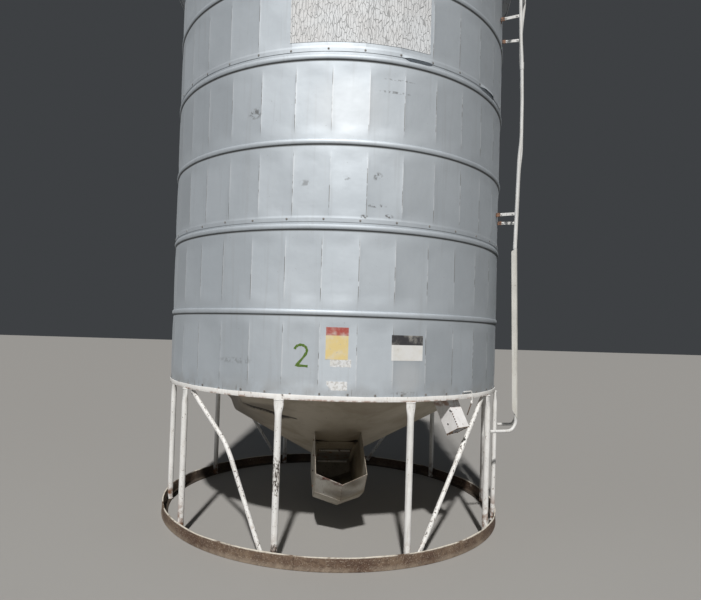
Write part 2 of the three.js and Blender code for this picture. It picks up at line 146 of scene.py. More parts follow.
def flat_share(turns: np.ndarray, phase: float = SIZES.phase_outer) -> np.ndarray:
    """How far a flat-sided shell reaches in each direction, as a share of its corners' radius."""
    half = SIZES.facet_angle / 2
    off = (turns - phase) % SIZES.facet_angle - half
    return math.cos(math.radians(half)) / np.cos(np.radians(off))


def rounded_path(corners: Sequence[Vector], radius: float, steps: int = 5) -> list[Vector]:
    """Rounds the inner corners of a polyline.

    Args:
        corners: the polyline's points.
        radius: how far from each corner the bend starts, at most.
        steps: how many pieces a bend has.

    Returns:
        The rounded polyline.
    """
    path = [Vector(corners[0])]
    for before, here, after in zip(corners, corners[1:], corners[2:]):
        reach = min(radius, (here - before).length * 0.45, (after - here).length * 0.45)
        start = here + (before - here).normalized() * reach
        end = here + (after - here).normalized() * reach
        for k in range(steps + 1):
            t = k / steps
            path.append(start * (1 - t) ** 2 + here * 2 * t * (1 - t) + end * t * t)
    path.append(Vector(corners[-1]))
    return path


def new_object(name: str, data: bpy.types.ID) -> Piece:
    """Makes an object and puts it in the scene."""
    made = bpy.data.objects.new(name, data)
    bpy.context.scene.collection.objects.link(made)
    return made


class Stock:
    """Closed bodies that gather into one piece."""

    def __init__(self) -> None:
        """Starts with no bodies."""
        self.points: list[tuple[float, float, float]] = []
        self.faces: list[list[int]] = []
        self.slots: list[int] = []

    def add(self, points: Sequence[Sequence[float]], faces: Sequence[Sequence[int]],
            slot: int = 0) -> None:
        """Adds one closed body with its faces turned outwards.

        Args:
            points: the body's points.
            faces: point numbers of each face.
            slot: number of the material that the body wears.
        """
        places = np.array([tuple(p) for p in points], float)
        middle = places.mean(axis=0)
        volume = 0.0
        for face in faces:
            a = places[face[0]] - middle
            for i, j in zip(face[1:], face[2:]):
                volume += float(a @ np.cross(places[i] - middle, places[j] - middle))
        start = len(self.points)
        self.points += [tuple(p) for p in places.tolist()]
        for face in faces:
            order = reversed(face) if volume < 0 else face
            self.faces.append([start + i for i in order])
        self.slots += [slot] * len(faces)

    def add_grid(self, grid: np.ndarray, slot: int = 0, closed_turn: bool = False) -> None:
        """Adds a tube-like body from rings of points.

        Args:
            grid: array of rings, points and coordinates; each ring closes on itself.
            slot: number of the material.
            closed_turn: joins the last ring to the first one instead of capping both ends.
        """
        rings, sides = grid.shape[:2]
        number = np.arange(rings * sides).reshape(rings, sides)
        faces = []
        for i in range(rings if closed_turn else rings - 1):
            here, there = number[i], number[(i + 1) % rings]
            for j in range(sides):
                k = (j + 1) % sides
                faces.append([int(here[j]), int(here[k]), int(there[k]), int(there[j])])
        if not closed_turn:
            faces.append([int(n) for n in number[0]])
            faces.append([int(n) for n in number[-1]])
        self.add(grid.reshape(-1, 3), faces, slot)

    def add_turned(self, section: Section, turns: np.ndarray) -> None:
        """Adds a closed section turned round the silo's axis.

        Args:
            section: radius and height of its points, each one value or one a direction.
            turns: the directions in degrees.
        """
        angle = np.radians(turns)
        rings = [np.stack([r * np.sin(angle), -r * np.cos(angle), z + 0 * angle], 1)
                 for r, z in section]
        self.add_grid(np.array(rings).transpose(1, 0, 2), closed_turn=True)

    def add_tube(self, path: Sequence[Vector], half_width: Sequence[float] | float,
                 half_depth: Sequence[float] | float | None = None,
                 across: Vector = Vector((1, 0, 0)), sides: int = 20, square: float = 2.0,
                 slot: int = 0) -> None:
        """Adds a pipe, bar or flattened pipe along a path.

        Args:
            path: its centre line.
            half_width: half its size towards across, one value or one a point.
            half_depth: half its size the other way, the same as half_width if left out.
            across: direction of its width.
            sides: points round it.
            square: 2 for round, more for squarer sections.
            slot: number of the material.
        """
        count = len(path)
        widths = np.broadcast_to(half_width, count)
        depths = widths if half_depth is None else np.broadcast_to(half_depth, count)
        turn = 2 * np.pi * (np.arange(sides) + 0.5) / sides
        round_x = np.sign(np.cos(turn)) * np.abs(np.cos(turn)) ** (2 / square)
        round_y = np.sign(np.sin(turn)) * np.abs(np.sin(turn)) ** (2 / square)
        rings = []
        for i, centre in enumerate(path):
            along = (path[min(i + 1, count - 1)] - path[max(i - 1, 0)]).normalized()
            side = (across - along * along.dot(across)).normalized()
            up = along.cross(side)
            rings.append(np.array(centre)[None, :]
                         + np.outer(round_x * widths[i], np.array(side))
                         + np.outer(round_y * depths[i], np.array(up)))
        self.add_grid(np.array(rings), slot)

    def add_plate(self, outline: Sequence[Pair], thick: float, place: Matrix,
                  slot: int = 0) -> None:
        """Adds a flat plate.

        Args:
            outline: its corners in its own plane.
            thick: its thickness, from the plane up.
            place: where the plane lies in the frame.
            slot: number of the material.
        """
        count = len(outline)
        points = [place @ Vector((x, y, z)) for z in (0, thick) for x, y in outline]
        faces = [list(range(count)), list(range(count, 2 * count))[::-1]]
        for i in range(count):
            j = (i + 1) % count
            faces.append([j, i, i + count, j + count])
        self.add(points, faces, slot)

    def add_block(self, low: Sequence[float], high: Sequence[float], place: Matrix,
                  slot: int = 0) -> None:
        """Adds a block between two corners of its own frame."""
        outline = [(low[0], low[1]), (high[0], low[1]), (high[0], high[1]), (low[0], high[1])]
        self.add_plate(outline, high[2] - low[2], place @ Matrix.Translation((0, 0, low[2])), slot)

    def add_ball(self, centre: Vector, radius: Vector, slot: int = 0) -> None:
        """Adds a small ball or blob with a radius for each axis."""
        body = bmesh.new()
        bmesh.ops.create_icosphere(body, subdivisions=2, radius=1.0)
        points = [centre + Vector(v.co[i] * radius[i] for i in range(3)) for v in body.verts]
        faces = [[v.index for v in f.verts] for f in body.faces]
        body.free()
        self.add(points, faces, slot)

    def piece(self, name: str, *finishes: Material,
              sharp: float = 35) -> Piece:
        """Makes the piece.

        Args:
            name: the piece's name.
            finishes: its materials, in the order of the slots.
            sharp: edges that turn by more than this many degrees stay sharp.

        Returns:
            The new object, at the origin.
        """
        mesh = bpy.data.meshes.new(name)
        mesh.from_pydata(self.points, [], self.faces)
        for finish in finishes:
            mesh.materials.append(finish)
        mesh.polygons.foreach_set("material_index", self.slots)
        mesh.shade_smooth()
        mesh.set_sharp_from_angle(angle=math.radians(sharp))
        return new_object(name, mesh)


def settle(piece: Piece) -> Piece:
    """Turns a piece with live modifiers into a plain mesh."""
    graph = bpy.context.evaluated_depsgraph_get()
    mesh = bpy.data.meshes.new_from_object(piece.evaluated_get(graph))
    piece.modifiers.clear()
    piece.data = mesh
    return piece


def soften(piece: Piece, width: float) -> Piece:
    """Rounds a piece's sharp edges by a width and makes it a plain mesh."""
    rounding = piece.modifiers.new("rounded_edges", "BEVEL")
    rounding.width = width
    rounding.segments = 2
    rounding.limit_method = "ANGLE"
    rounding.angle_limit = math.radians(40)
    return settle(piece)


def hand_over(piece: Piece, slot: Slot, *nodes: str, body: str = SILO_BODY) -> None:
    """Puts a finished piece on its body.

    Args:
        piece: the finished piece.
        slot: the record's slot for its finish; it is not used.
        nodes: the solids that it stands for.
        body: the body that it rides on.
    """
    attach(piece, body)
    if nodes:
        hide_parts(*nodes)
    LOG.info("%s: %d faces on %s", piece.name, len(piece.data.polygons), body)


class Signal:
    """A value in a node tree, so that sums of values read as sums."""

    def __init__(self, graph: "Graph", socket: Socket) -> None:
        """Wraps a socket of a graph."""
        self.graph = graph
        self.socket = socket

    def __add__(self, other: object) -> "Signal":
        """Sum of two values."""
        return self.graph.math("ADD", self, other)

    def __sub__(self, other: object) -> "Signal":
        """Difference of two values."""
        return self.graph.math("SUBTRACT", self, other)

    def __rsub__(self, other: object) -> "Signal":
        """Difference from a plain number."""
        return self.graph.math("SUBTRACT", other, self)

    def __mul__(self, other: object) -> "Signal":
        """Product of two values."""
        return self.graph.math("MULTIPLY", self, other)

    def __truediv__(self, other: object) -> "Signal":
        """Quotient of two values."""
        return self.graph.math("DIVIDE", self, other)

    __radd__ = __add__


class Graph:
    """Short way to add and join the nodes of a tree."""

    def __init__(self, tree: Tree) -> None:
        """Works on a tree."""
        self.tree = tree

    def node(self, kind: str, inputs: dict | None = None, **settings: object) -> Node:
        """Adds a node.

        Args:
            kind: the node's type name.
            inputs: value or signal for each input, by its name or number.
            settings: the node's own settings.

        Returns:
            The new node.
        """
        made = self.tree.nodes.new(kind)
        for key, value in settings.items():
            setattr(made, key, value)
        for key, value in (inputs or {}).items():
            self.feed(made.inputs[key], value)
        return made

    def feed(self, socket: Socket, value: object) -> None:
        """Links a signal to an input, or sets its value.

        Args:
            socket: the input.
            value: a signal, a socket or a plain value; a colour has three numbers.
        """
        if isinstance(value, Signal):
            value = value.socket
        if isinstance(value, Socket):
            self.tree.links.new(value, socket)
        elif socket.type == "RGBA":
            socket.default_value = (*value, 1)
        else:
            socket.default_value = value

    def out(self, node: Node, name: str | int = 0) -> Signal:
        """One of a node's outputs."""
        return Signal(self, node.outputs[name])

    def math(self, operation: str, *values: object) -> Signal:
        """Result of a Math node."""
        made = self.node("ShaderNodeMath", dict(enumerate(values)), operation=operation)
        return self.out(made)

    def vector_math(self, operation: str, *values: object) -> Signal:
        """Result of a Vector Math node, its number where it gives one."""
        made = self.node("ShaderNodeVectorMath", dict(enumerate(values)), operation=operation)
        return self.out(made, "Value" if operation in ("LENGTH", "DOT_PRODUCT") else "Vector")

    def ease(self, value: object, low: object, high: object, start: float = 0,
             end: float = 1) -> Signal:
        """Smooth change from start at low to end at high."""
        return self.out(self.node("ShaderNodeMapRange", {
            "Value": value, "From Min": low, "From Max": high, "To Min": start, "To Max": end,
        }, interpolation_type="SMOOTHSTEP"), "Result")

    def mix(self, share: object, a: object, b: object, blend: str = "MIX") -> Signal:
        """Colour that goes from a to b."""
        return self.out(self.node("ShaderNodeMix", {0: share, 6: a, 7: b}, data_type="RGBA",
                                  blend_type=blend), 2)

    def noise(self, vector: object, scale: object, detail: float = 4, rough: float = 0.6,
              twist: float = 0) -> Signal:
        """Value of a Noise texture."""
        return self.out(self.node("ShaderNodeTexNoise", {
            "Vector": vector, "Scale": scale, "Detail": detail, "Roughness": rough,
            "Distortion": twist}), "Fac")

    def parts(self, vector: object) -> tuple[Signal, Signal, Signal]:
        """X, Y and Z of a vector."""
        made = self.node("ShaderNodeSeparateXYZ", {0: vector})
        return self.out(made, 0), self.out(made, 1), self.out(made, 2)

    def join(self, x: object, y: object, z: object) -> Signal:
        """Vector of three numbers."""
        return self.out(self.node("ShaderNodeCombineXYZ", {0: x, 1: y, 2: z}))

    def bearing(self, x: Signal, y: Signal) -> Signal:
        """Direction from the silo's axis in degrees, as polar counts it."""
        return self.math("DEGREES", self.math("ARCTAN2", x, y * -1.0))

    def effect(self, tree: Tree, **inputs: object) -> dict[str, Signal]:
        """Places a shared node group.

        Args:
            tree: the group.
            inputs: value or signal for each of its inputs.

        Returns:
            The group's outputs by name.
        """
        made = self.node("ShaderNodeGroup", node_tree=tree)
        for name, value in inputs.items():
            self.feed(made.inputs[name], value)
        return {socket.name: Signal(self, socket) for socket in made.outputs}


class SocketKind(Enum):
    """Kinds of a group's named sockets."""

    NUMBER = "NodeSocketFloat"
    COUNT = "NodeSocketInt"
    PLACE = "NodeSocketVector"
    FINISH = "NodeSocketMaterial"
    SHAPE = "NodeSocketGeometry"


class TreeKind(Enum):
    """Kinds of node groups, and the socket kind of their outputs."""

    SHADER = ("ShaderNodeTree", SocketKind.NUMBER)
    GEOMETRY = ("GeometryNodeTree", SocketKind.SHAPE)


class Group(Graph):
    """A node group with named inputs and outputs."""

    kinds = {float: SocketKind.NUMBER, int: SocketKind.COUNT, tuple: SocketKind.PLACE}

    def __init__(self, name: str, kind: TreeKind, inputs: dict[str, object],
                 *outputs: str) -> None:
        """Starts the group.

        Args:
            name: its name.
            kind: its kind of tree.
            inputs: first value of each input, or the kind of one that has no value.
            outputs: names of its outputs.
        """
        super().__init__(bpy.data.node_groups.new(name, kind.value[0]))
        add = self.tree.interface.new_socket
        for label, value in inputs.items():
            bare = isinstance(value, SocketKind)
            socket = value if bare else self.kinds[type(value)]
            made = add(name=label, in_out="INPUT", socket_type=socket.value)
            if not bare:
                made.default_value = value
        for label in outputs:
            add(name=label, in_out="OUTPUT", socket_type=kind.value[1].value)
        self.given = self.tree.nodes.new("NodeGroupInput")
        self.result = self.tree.nodes.new("NodeGroupOutput")

    def __getitem__(self, name: str) -> Signal:
        """One of the group's inputs."""
        return self.out(self.given, name)

    def put(self, **results: Signal) -> Tree:
        """Feeds the group's outputs and gives its tree."""
        for name, value in results.items():
            self.feed(self.result.inputs[name], value)
        return self.tree

    def coat(self, shape: Signal) -> Tree:
        """Ends a geometry tree: makes its instances real and gives them their material."""
        real = self.node("GeometryNodeRealizeInstances", {0: shape})
        return self.put(Geometry=self.out(self.node("GeometryNodeSetMaterial", {
            "Geometry": self.out(real), "Material": self["Material"]})))

    def copies(self, points: Signal, shape: Signal, facing: Signal) -> Tree:
        """Ends a geometry tree with a copy of a shape on each point."""
        return self.coat(self.out(self.node("GeometryNodeInstanceOnPoints", {
            "Points": points, "Instance": shape, "Rotation": facing})))

    def bar(self, line: Signal, sides: object, radius: Signal) -> Signal:
        """Round bar with closed ends along curves."""
        section = self.node("GeometryNodeCurvePrimitiveCircle", {
            "Resolution": sides, "Radius": radius})
        return self.out(self.node("GeometryNodeCurveToMesh", {
            "Curve": line, "Profile Curve": self.out(section, "Curve"), "Fill Caps": True}))

    def rod(self, sides: object, radius: Signal, length: Signal) -> Signal:
        """Straight round rod along Z."""
        return self.out(self.node("GeometryNodeMeshCylinder", {
            "Vertices": sides, "Radius": radius, "Depth": length}), "Mesh")

    def turned(self, x: object, y: object, z: object) -> Signal:
        """Rotation by three angles."""
        return self.out(self.node("FunctionNodeEulerToRotation", {0: self.join(x, y, z)}))


@functools.cache
def patches() -> Tree:
    """Group: irregular patches, as where paint has come off."""
    g = Group("patches", TreeKind.SHADER, {
        "Vector": SocketKind.PLACE, "Scale": 10.0, "Amount": 0.2, "Softness": 0.02}, "Mask")
    grain = g.noise(g["Vector"], g["Scale"], detail=7, rough=0.62)
    limit = g["Amount"] * -0.44 + 0.72
    return g.put(Mask=g.ease(grain, limit - g["Softness"], limit + g["Softness"]))


@functools.cache
def streaks() -> Tree:
    """Group: stains that run down."""
    g = Group("streaks", TreeKind.SHADER, {
        "Vector": SocketKind.PLACE, "Across": 30.0, "Down": 1.5, "Amount": 0.3}, "Mask")
    scale = g.join(g["Across"], g["Across"], g["Down"])
    grain = g.noise(g.vector_math("MULTIPLY", g["Vector"], scale), 1.0, detail=5, rough=0.6)
    limit = g["Amount"] * -0.4 + 0.68
    return g.put(Mask=g.ease(grain, limit, limit + 0.12))


@functools.cache
def spot() -> Tree:
    """Group: soft spot round a place, with a size for each axis."""
    g = Group("spot", TreeKind.SHADER, {
        "Vector": SocketKind.PLACE, "Centre": (0, 0, 0), "Size": (0.1, 0.1, 0.1)}, "Mask")
    away = g.vector_math("SUBTRACT", g["Vector"], g["Centre"])
    far = g.vector_math("LENGTH", g.vector_math("DIVIDE", away, g["Size"]))
    return g.put(Mask=g.ease(far, 0.35, 1.0, 1, 0))


@functools.cache
def worn_edges() -> Tree:
    """Group: worn edges, broken up by a grain."""
    g = Group("worn_edges", TreeKind.SHADER, {
        "Vector": SocketKind.PLACE, "Width": 0.003, "Grain": 40.0}, "Mask")
    eased = g.out(g.node("ShaderNodeBevel", {"Radius": g["Width"]}, samples=4))
    flat = g.out(g.node("ShaderNodeNewGeometry"), "Normal")
    turn = g.vector_math("DOT_PRODUCT", eased, flat)
    grain = g.ease(g.noise(g["Vector"], g["Grain"]), 0.36, 0.6)
    return g.put(Mask=g.ease(turn, 0.995, 0.93) * grain)


@functools.cache
def facet_marks() -> Tree:
    """Group: tone of each flat of the wall, and masks of a painted highlight on its creases,
    painted shade beside them and painted shadow under the beads.
    """
    g = Group("facet_marks", TreeKind.SHADER, {
        "Vector": SocketKind.PLACE, "Phase": SIZES.phase_outer}, "Tone", "Crease", "Gap", "Bead")
    x, y, z = g.parts(g["Vector"])
    share = (g.bearing(x, y) - g["Phase"]) / SIZES.facet_angle
    side = g.math("FRACT", share + 40.0)
    level = (z - SIZES.first_bead) / SIZES.bead_pitch
    above = g.math("FRACT", level + 4.0) * SIZES.bead_pitch
    below = SIZES.bead_pitch - above
    window = g.ease(g.math("MINIMUM", above, below), *SIZES.flat_from_bead)
    flat = g.join(g.math("FLOOR", share), g.math("FLOOR", level), 3.0)
    number = g.out(g.node("ShaderNodeTexWhiteNoise", {"Vector": flat},
                          noise_dimensions="3D"), "Value")
    late = (1.0 - side) * SIZES.facet_width
    near = g.math("MINIMUM", side * SIZES.facet_width, late)
    return g.put(Tone=(number - 0.5) * window,
                 Crease=g.ease(near, 0.002, 0.006, 1, 0) * window,
                 Gap=g.ease(late, 0.003, 0.0065, 1, 0) * window,
                 Bead=g.ease(below, 0.012, 0.019) * g.ease(below, 0.024, 0.034, 1, 0))


@functools.cache
def crazing() -> Tree:
    """Group: long wavy cracks of old thick paint on the wall."""
    g = Group("crazing", TreeKind.SHADER, {"Vector": SocketKind.PLACE}, "Crack")
    x, y, z = g.parts(g["Vector"])
    along = g.bearing(x, y) * SIZES.degree_length
    wave = g.noise(g.join(along * 3.0, 0.0, z * 9.0), 1.0, 3)
    drift = wave * 0.03 + along
    cracks = []
    for across, up, reach in ((54.0, 13.0, 0.05), (36.0, 30.0, 0.035)):
        cell = g.node("ShaderNodeTexVoronoi", {
            "Vector": g.join(drift * across, 0.0, z * up), "Scale": 1.0, "Randomness": 0.9,
        }, feature="DISTANCE_TO_EDGE")
        cracks.append(g.ease(g.out(cell, "Distance"), 0.01, reach, 1, 0))
    return g.put(Crack=g.math("MAXIMUM", cracks[0], cracks[1] * 0.3))


class Finish:
    """A material in the making: its graph, its place on the piece and its colour so far."""

    def __init__(self, name: str) -> None:
        """Makes an empty material with a Principled shader."""
        self.material = bpy.data.materials.new(name)
        self.material.use_nodes = True
        tree = self.material.node_tree
        tree.nodes.clear()
        self.graph = Graph(tree)
        self.shader = tree.nodes.new("ShaderNodeBsdfPrincipled")
        end = tree.nodes.new("ShaderNodeOutputMaterial")
        tree.links.new(self.shader.outputs[0], end.inputs[0])
        self.place = self.graph.out(tree.nodes.new("ShaderNodeTexCoord"), "Object")
        self.colour: object = (0.8, 0.8, 0.8)

    def set(self, **inputs: object) -> None:
        """Sets the shader's inputs, with _ for a space in their names."""
        for key, value in inputs.items():
            self.graph.feed(self.shader.inputs[key.replace("_", " ")], value)

    def start(self, first: Colour, second: Colour, share: Signal) -> None:
        """Starts the colour between two."""
        self.colour = self.graph.mix(share, first, second)

    def coat(self, colour: Colour, mask: Signal, strength: float = 1.0) -> None:
        """Lays a colour over the one so far."""
        share = mask if strength == 1.0 else mask * strength
        self.colour = self.graph.mix(share, self.colour, colour)

    def relief(self, height: Signal, distance: float, strength: float = 1.0) -> None:
        """Raises and sinks the surface by a height map."""
        self.set(Normal=self.graph.out(self.graph.node("ShaderNodeBump", {
            "Height": height, "Distance": distance, "Strength": strength})))

    def noise(self, scale: float, detail: float = 4, rough: float = 0.6,
              twist: float = 0) -> Signal:
        """Noise over the piece."""
        return self.graph.noise(self.place, scale, detail, rough, twist)

    def patches(self, scale: float, amount: object, softness: float,
                place: Signal | None = None) -> Signal:
        """Mask of irregular patches."""
        return self.graph.effect(patches(), Vector=place or self.place, Scale=scale,
                                 Amount=amount, Softness=softness)["Mask"]

    def streaks(self, across: float, down: float, amount: float) -> Signal:
        """Mask of stains that run down."""
        return self.graph.effect(streaks(), Vector=self.place, Across=across, Down=down,
                                 Amount=amount)["Mask"]


@dataclass(frozen=True)
class Mark:
    """A local mark on a surface: its place, size and strength."""

    azimuth: float
    height: float
    size: Pair
    strength: float = 1.0
    radius: float = SIZES.wall_radius

    def mask(self, f: Finish) -> Signal:
        """Mask of the mark in a material."""
        wide, tall = self.size
        return f.graph.effect(spot(), Vector=f.place, Size=(wide, wide, tall), Centre=polar(
            self.radius, self.azimuth, self.height))["Mask"] * self.strength


@dataclass(frozen=True)
class Coating:
    """A named finish, whose kinds lay their own colours and relief."""

    name: str

    def material(self) -> Material:
        """Builds the material.

        Returns:
            The new material.
        """
        f = Finish(self.name)
        self.lay(f)
        f.set(Base_Color=f.colour)
        return f.material

    def lay(self, f: Finish) -> None:
        """Lays the colours and the relief, as each kind of coating does."""
        raise NotImplementedError


@dataclass(frozen=True)
class WallZinc(Coating):
    """Weathered zinc of the wall sheets, with a tone for each flat, dirt, painted highlights on
    the creases, painted shade beside the creases and under the beads, and painted shade towards
    the right side.
    """

    phase: float
    scuffs: tuple[Mark, ...] = ()
    clean: tuple[Mark, ...] = ()
    sheet: Colour = (0.605, 0.66, 0.715)
    dull: Colour = (0.52, 0.57, 0.62)
    run: Colour = (0.42, 0.44, 0.46)
    # Colour of the painted highlight along each crease.
    crease: Colour = (0.86, 0.89, 0.92)
    # Colour of the painted shade beside the creases and of the painted shadow under the beads.
    dirt_and_shade: Colour = (0.115, 0.115, 0.11)
    scuff: Colour = (0.17, 0.175, 0.18)
    wiped: Colour = (0.72, 0.74, 0.76)
    speck: Colour = (0.24, 0.23, 0.22)

    def lay(self, f: Finish) -> None:
        """Lays the zinc, its marks, its dirt and its painted highlights and shade.

        Args:
            f: the material in the making.
        """
        g = f.graph
        marks = g.effect(facet_marks(), Vector=f.place, Phase=self.phase)
        cloud = f.noise(1.7, detail=5, rough=0.55)
        f.start(self.sheet, self.dull, g.ease(cloud, 0.3, 0.72))
        # Painted shade: the wall grows darker towards its right side, down to 0.8 of its colour.
        shaded_right = g.ease(g.parts(f.place)[0], 0.6, 1.35, 1.0, 0.8)
        bright = (marks["Tone"] * 0.16 + 1.0) * shaded_right
        f.colour = g.mix(1.0, f.colour, g.join(bright, bright, bright), "MULTIPLY")
        f.coat(self.run, f.streaks(26.0, 1.2, 0.35), 0.16)
        # Painted highlight: a pale line along each crease of the wall.
        f.coat(self.crease, marks["Crease"] * g.ease(f.noise(5.0), 0.3, 0.55), 0.38)
        torn = g.ease(f.noise(7.0, detail=6), 0.47, 0.56)
        # Painted shade: dark lines beside the creases, and a painted shadow line under each bead.
        f.coat(self.dirt_and_shade, marks["Gap"] * torn, 0.75)
        f.coat(self.dirt_and_shade, marks["Bead"], 0.72)
        self.lay_bottom_dirt(f)
        grain = f.patches(38.0, 0.46, 0.05)
        for mark in self.scuffs:
            f.coat(self.scuff, mark.mask(f) * grain)
        for mark in self.clean:
            f.coat(self.wiped, mark.mask(f))
        f.coat(self.speck, f.patches(55.0, 0.04, 0.015), 0.5)
        f.set(Roughness=cloud * 0.18 + 0.57 + marks["Bead"] * 0.3, Metallic=0.66)
        spangle = f.noise(130.0, detail=2) * 0.03
        f.relief(spangle + f.noise(4.5, detail=3, rough=0.5), 0.012, 0.35)

    def lay_bottom_dirt(self, f: Finish) -> None:
        """Lays dust and short drips above the ring beam.

        Args:
            f: the material in the making.
        """
        g = f.graph
        z = g.parts(f.place)[2]
        haze = g.ease(z, 1.18, 1.34, 1, 0) * g.ease(f.noise(6.0), 0.35, 0.65)
        f.coat((0.33, 0.32, 0.30), haze, 0.35)
        drips = f.streaks(70.0, 5.0, 0.2) * g.ease(z, 1.19, 1.245, 1, 0)
        f.coat((0.16, 0.13, 0.11), drips)


@dataclass(frozen=True)
class PlainZinc(Coating):
    """Weathered zinc of the roof, collar, gate and fixings."""

    sheet: Colour = (0.56, 0.58, 0.60)
    bloom: Colour = (0.25, 0.13, 0.07)
    rust: float = 0.1
    metallic: float = 0.65

    def lay(self, f: Finish) -> None:
        """Lays the zinc and its rust bloom.

        Args:
            f: the material in the making.
        """
        cloud = f.noise(3.0, detail=6)
        dull = tuple(0.78 * c for c in self.sheet)
        f.start(self.sheet, dull, f.graph.ease(cloud, 0.3, 0.7))
        bloom = f.patches(14.0, self.rust, 0.06)
        f.coat(self.bloom, bloom, 0.8)
        f.set(Metallic=self.metallic - bloom * self.metallic, Roughness=cloud * 0.35 + 0.33)
        f.relief(f.noise(60.0, detail=3), 0.002, 0.3)


@dataclass(frozen=True)
class ChippedPaint(Coating):
    """Old off-white paint on pipe and angle: chips down to brown steel, rust and drips, and a
    brown band that is rust on the ring beam and painted shade on the bagging spout.
    """

    paint: Colour = (0.82, 0.825, 0.82)
    steel: Colour = (0.05, 0.04, 0.035)
    dust: Colour = (0.36, 0.32, 0.26)
    stain: Colour = (0.36, 0.27, 0.19)
    chips: float = 0.1
    chip_scale: float = 34.0
    dirt_and_shade: float = 0.25
    foot_rust: float = 0.0
    rust_and_shade_band: Pair | None = None
    bare: tuple[Mark, ...] = ()

    def lay(self, f: Finish) -> None:
        """Lays the paint, its dirt, its chips, its rust and its painted shade.

        Args:
            f: the material in the making.
        """
        g = f.graph
        z = g.parts(f.place)[2]
        cloud = f.noise(5.0, detail=6, rough=0.65)
        f.start(self.paint, tuple(0.82 * c for c in self.paint), g.ease(cloud, 0.32, 0.75))
        f.coat(self.dust, f.streaks(45.0, 4.0, 0.42), self.dirt_and_shade)
        amount = self.chips
        for mark in self.bare:
            amount = mark.mask(f) * 0.62 + amount
        drawn = g.vector_math("MULTIPLY", f.place, (2.0, 2.0, 0.9))
        f.coat(self.stain, f.patches(self.chip_scale, amount + 0.08, 0.05, drawn), 0.4)
        chip = f.patches(self.chip_scale, amount, 0.012, drawn) * g.ease(f.noise(9.0), 0.36, 0.5)
        if self.foot_rust:
            eaten = g.ease(f.noise(16.0, detail=6), 0.38, 0.6)
            f.coat((0.20, 0.105, 0.06), g.ease(z, 0.06, self.foot_rust, 1, 0) * eaten)
        # A brown band between two heights: rust along the ring beam's lower edge, and painted
        # shade of the ring beam on the bagging spout's upper part.
        if self.rust_and_shade_band:
            under = g.ease(z, *self.rust_and_shade_band) * g.ease(f.noise(13.0, detail=6), 0.45, 0.62)
            f.coat((0.28, 0.13, 0.07), under, 0.8)
        f.coat(self.steel, chip)
        f.set(Roughness=cloud * 0.25 + 0.42)
        f.relief(f.noise(220.0, detail=2) * 0.12 + (cloud * 0.25 - chip), 0.0012, 0.8)


@dataclass(frozen=True)
class DustyCream(Coating):
    """Cream paint of the hopper and boot, dusty and smeared, with worn edges, marks of grime and
    of painted shade, and a painted shadow along the cone's fold.
    """

    paint: Colour = (0.45, 0.405, 0.33)
    dust: Colour = (0.31, 0.265, 0.20)
    smear: Colour = (0.30, 0.25, 0.19)
    grime_and_shade: Colour = (0.095, 0.082, 0.068)
    shade: Colour = (0.035, 0.03, 0.025)
    rust: Colour = (0.16, 0.055, 0.035)
    steel: Colour = (0.13, 0.075, 0.045)
    edges: float = 0.0
    chips: float = 0.08
    rusty: tuple[Mark, ...] = ()
    grime_and_shade_marks: tuple[Mark, ...] = ()
    fold: Callable[[Finish], Signal] | None = None

    def lay(self, f: Finish) -> None:
        """Lays the paint, its dust, its marks of grime and painted shade, and its chips.

        Args:
            f: the material in the making.
        """
        g = f.graph
        cloud = f.noise(2.6, detail=6, rough=0.6, twist=0.4)
        f.start(self.paint, self.dust, g.ease(cloud, 0.35, 0.7))
        f.coat(self.smear, f.streaks(9.0, 3.0, 0.4), 0.25)
        # Marks of grime and of painted shade; on the cone they paint the shade over its left side
        # and above its fold.
        for mark in self.grime_and_shade_marks:
            f.coat(self.grime_and_shade, mark.mask(f), 0.8)
        if self.fold:
            f.coat(self.shade, self.fold(f))
        grain = g.ease(f.noise(42.0, detail=6), 0.42, 0.56)
        for mark in self.rusty:
            f.coat(self.rust, mark.mask(f) * grain)
        chip = f.patches(60.0, self.chips, 0.012)
        if self.edges:
            worn = g.effect(worn_edges(), Vector=f.place, Width=self.edges, Grain=55.0)["Mask"]
            chip = g.math("MAXIMUM", chip, worn * 0.85)
        f.coat(self.steel, chip)
        f.set(Roughness=cloud * 0.2 + 0.52)
        dent = cloud * 0.5 - chip * 0.5
        f.relief(f.noise(150.0, detail=2) * 0.06 + dent, 0.002, 0.7)


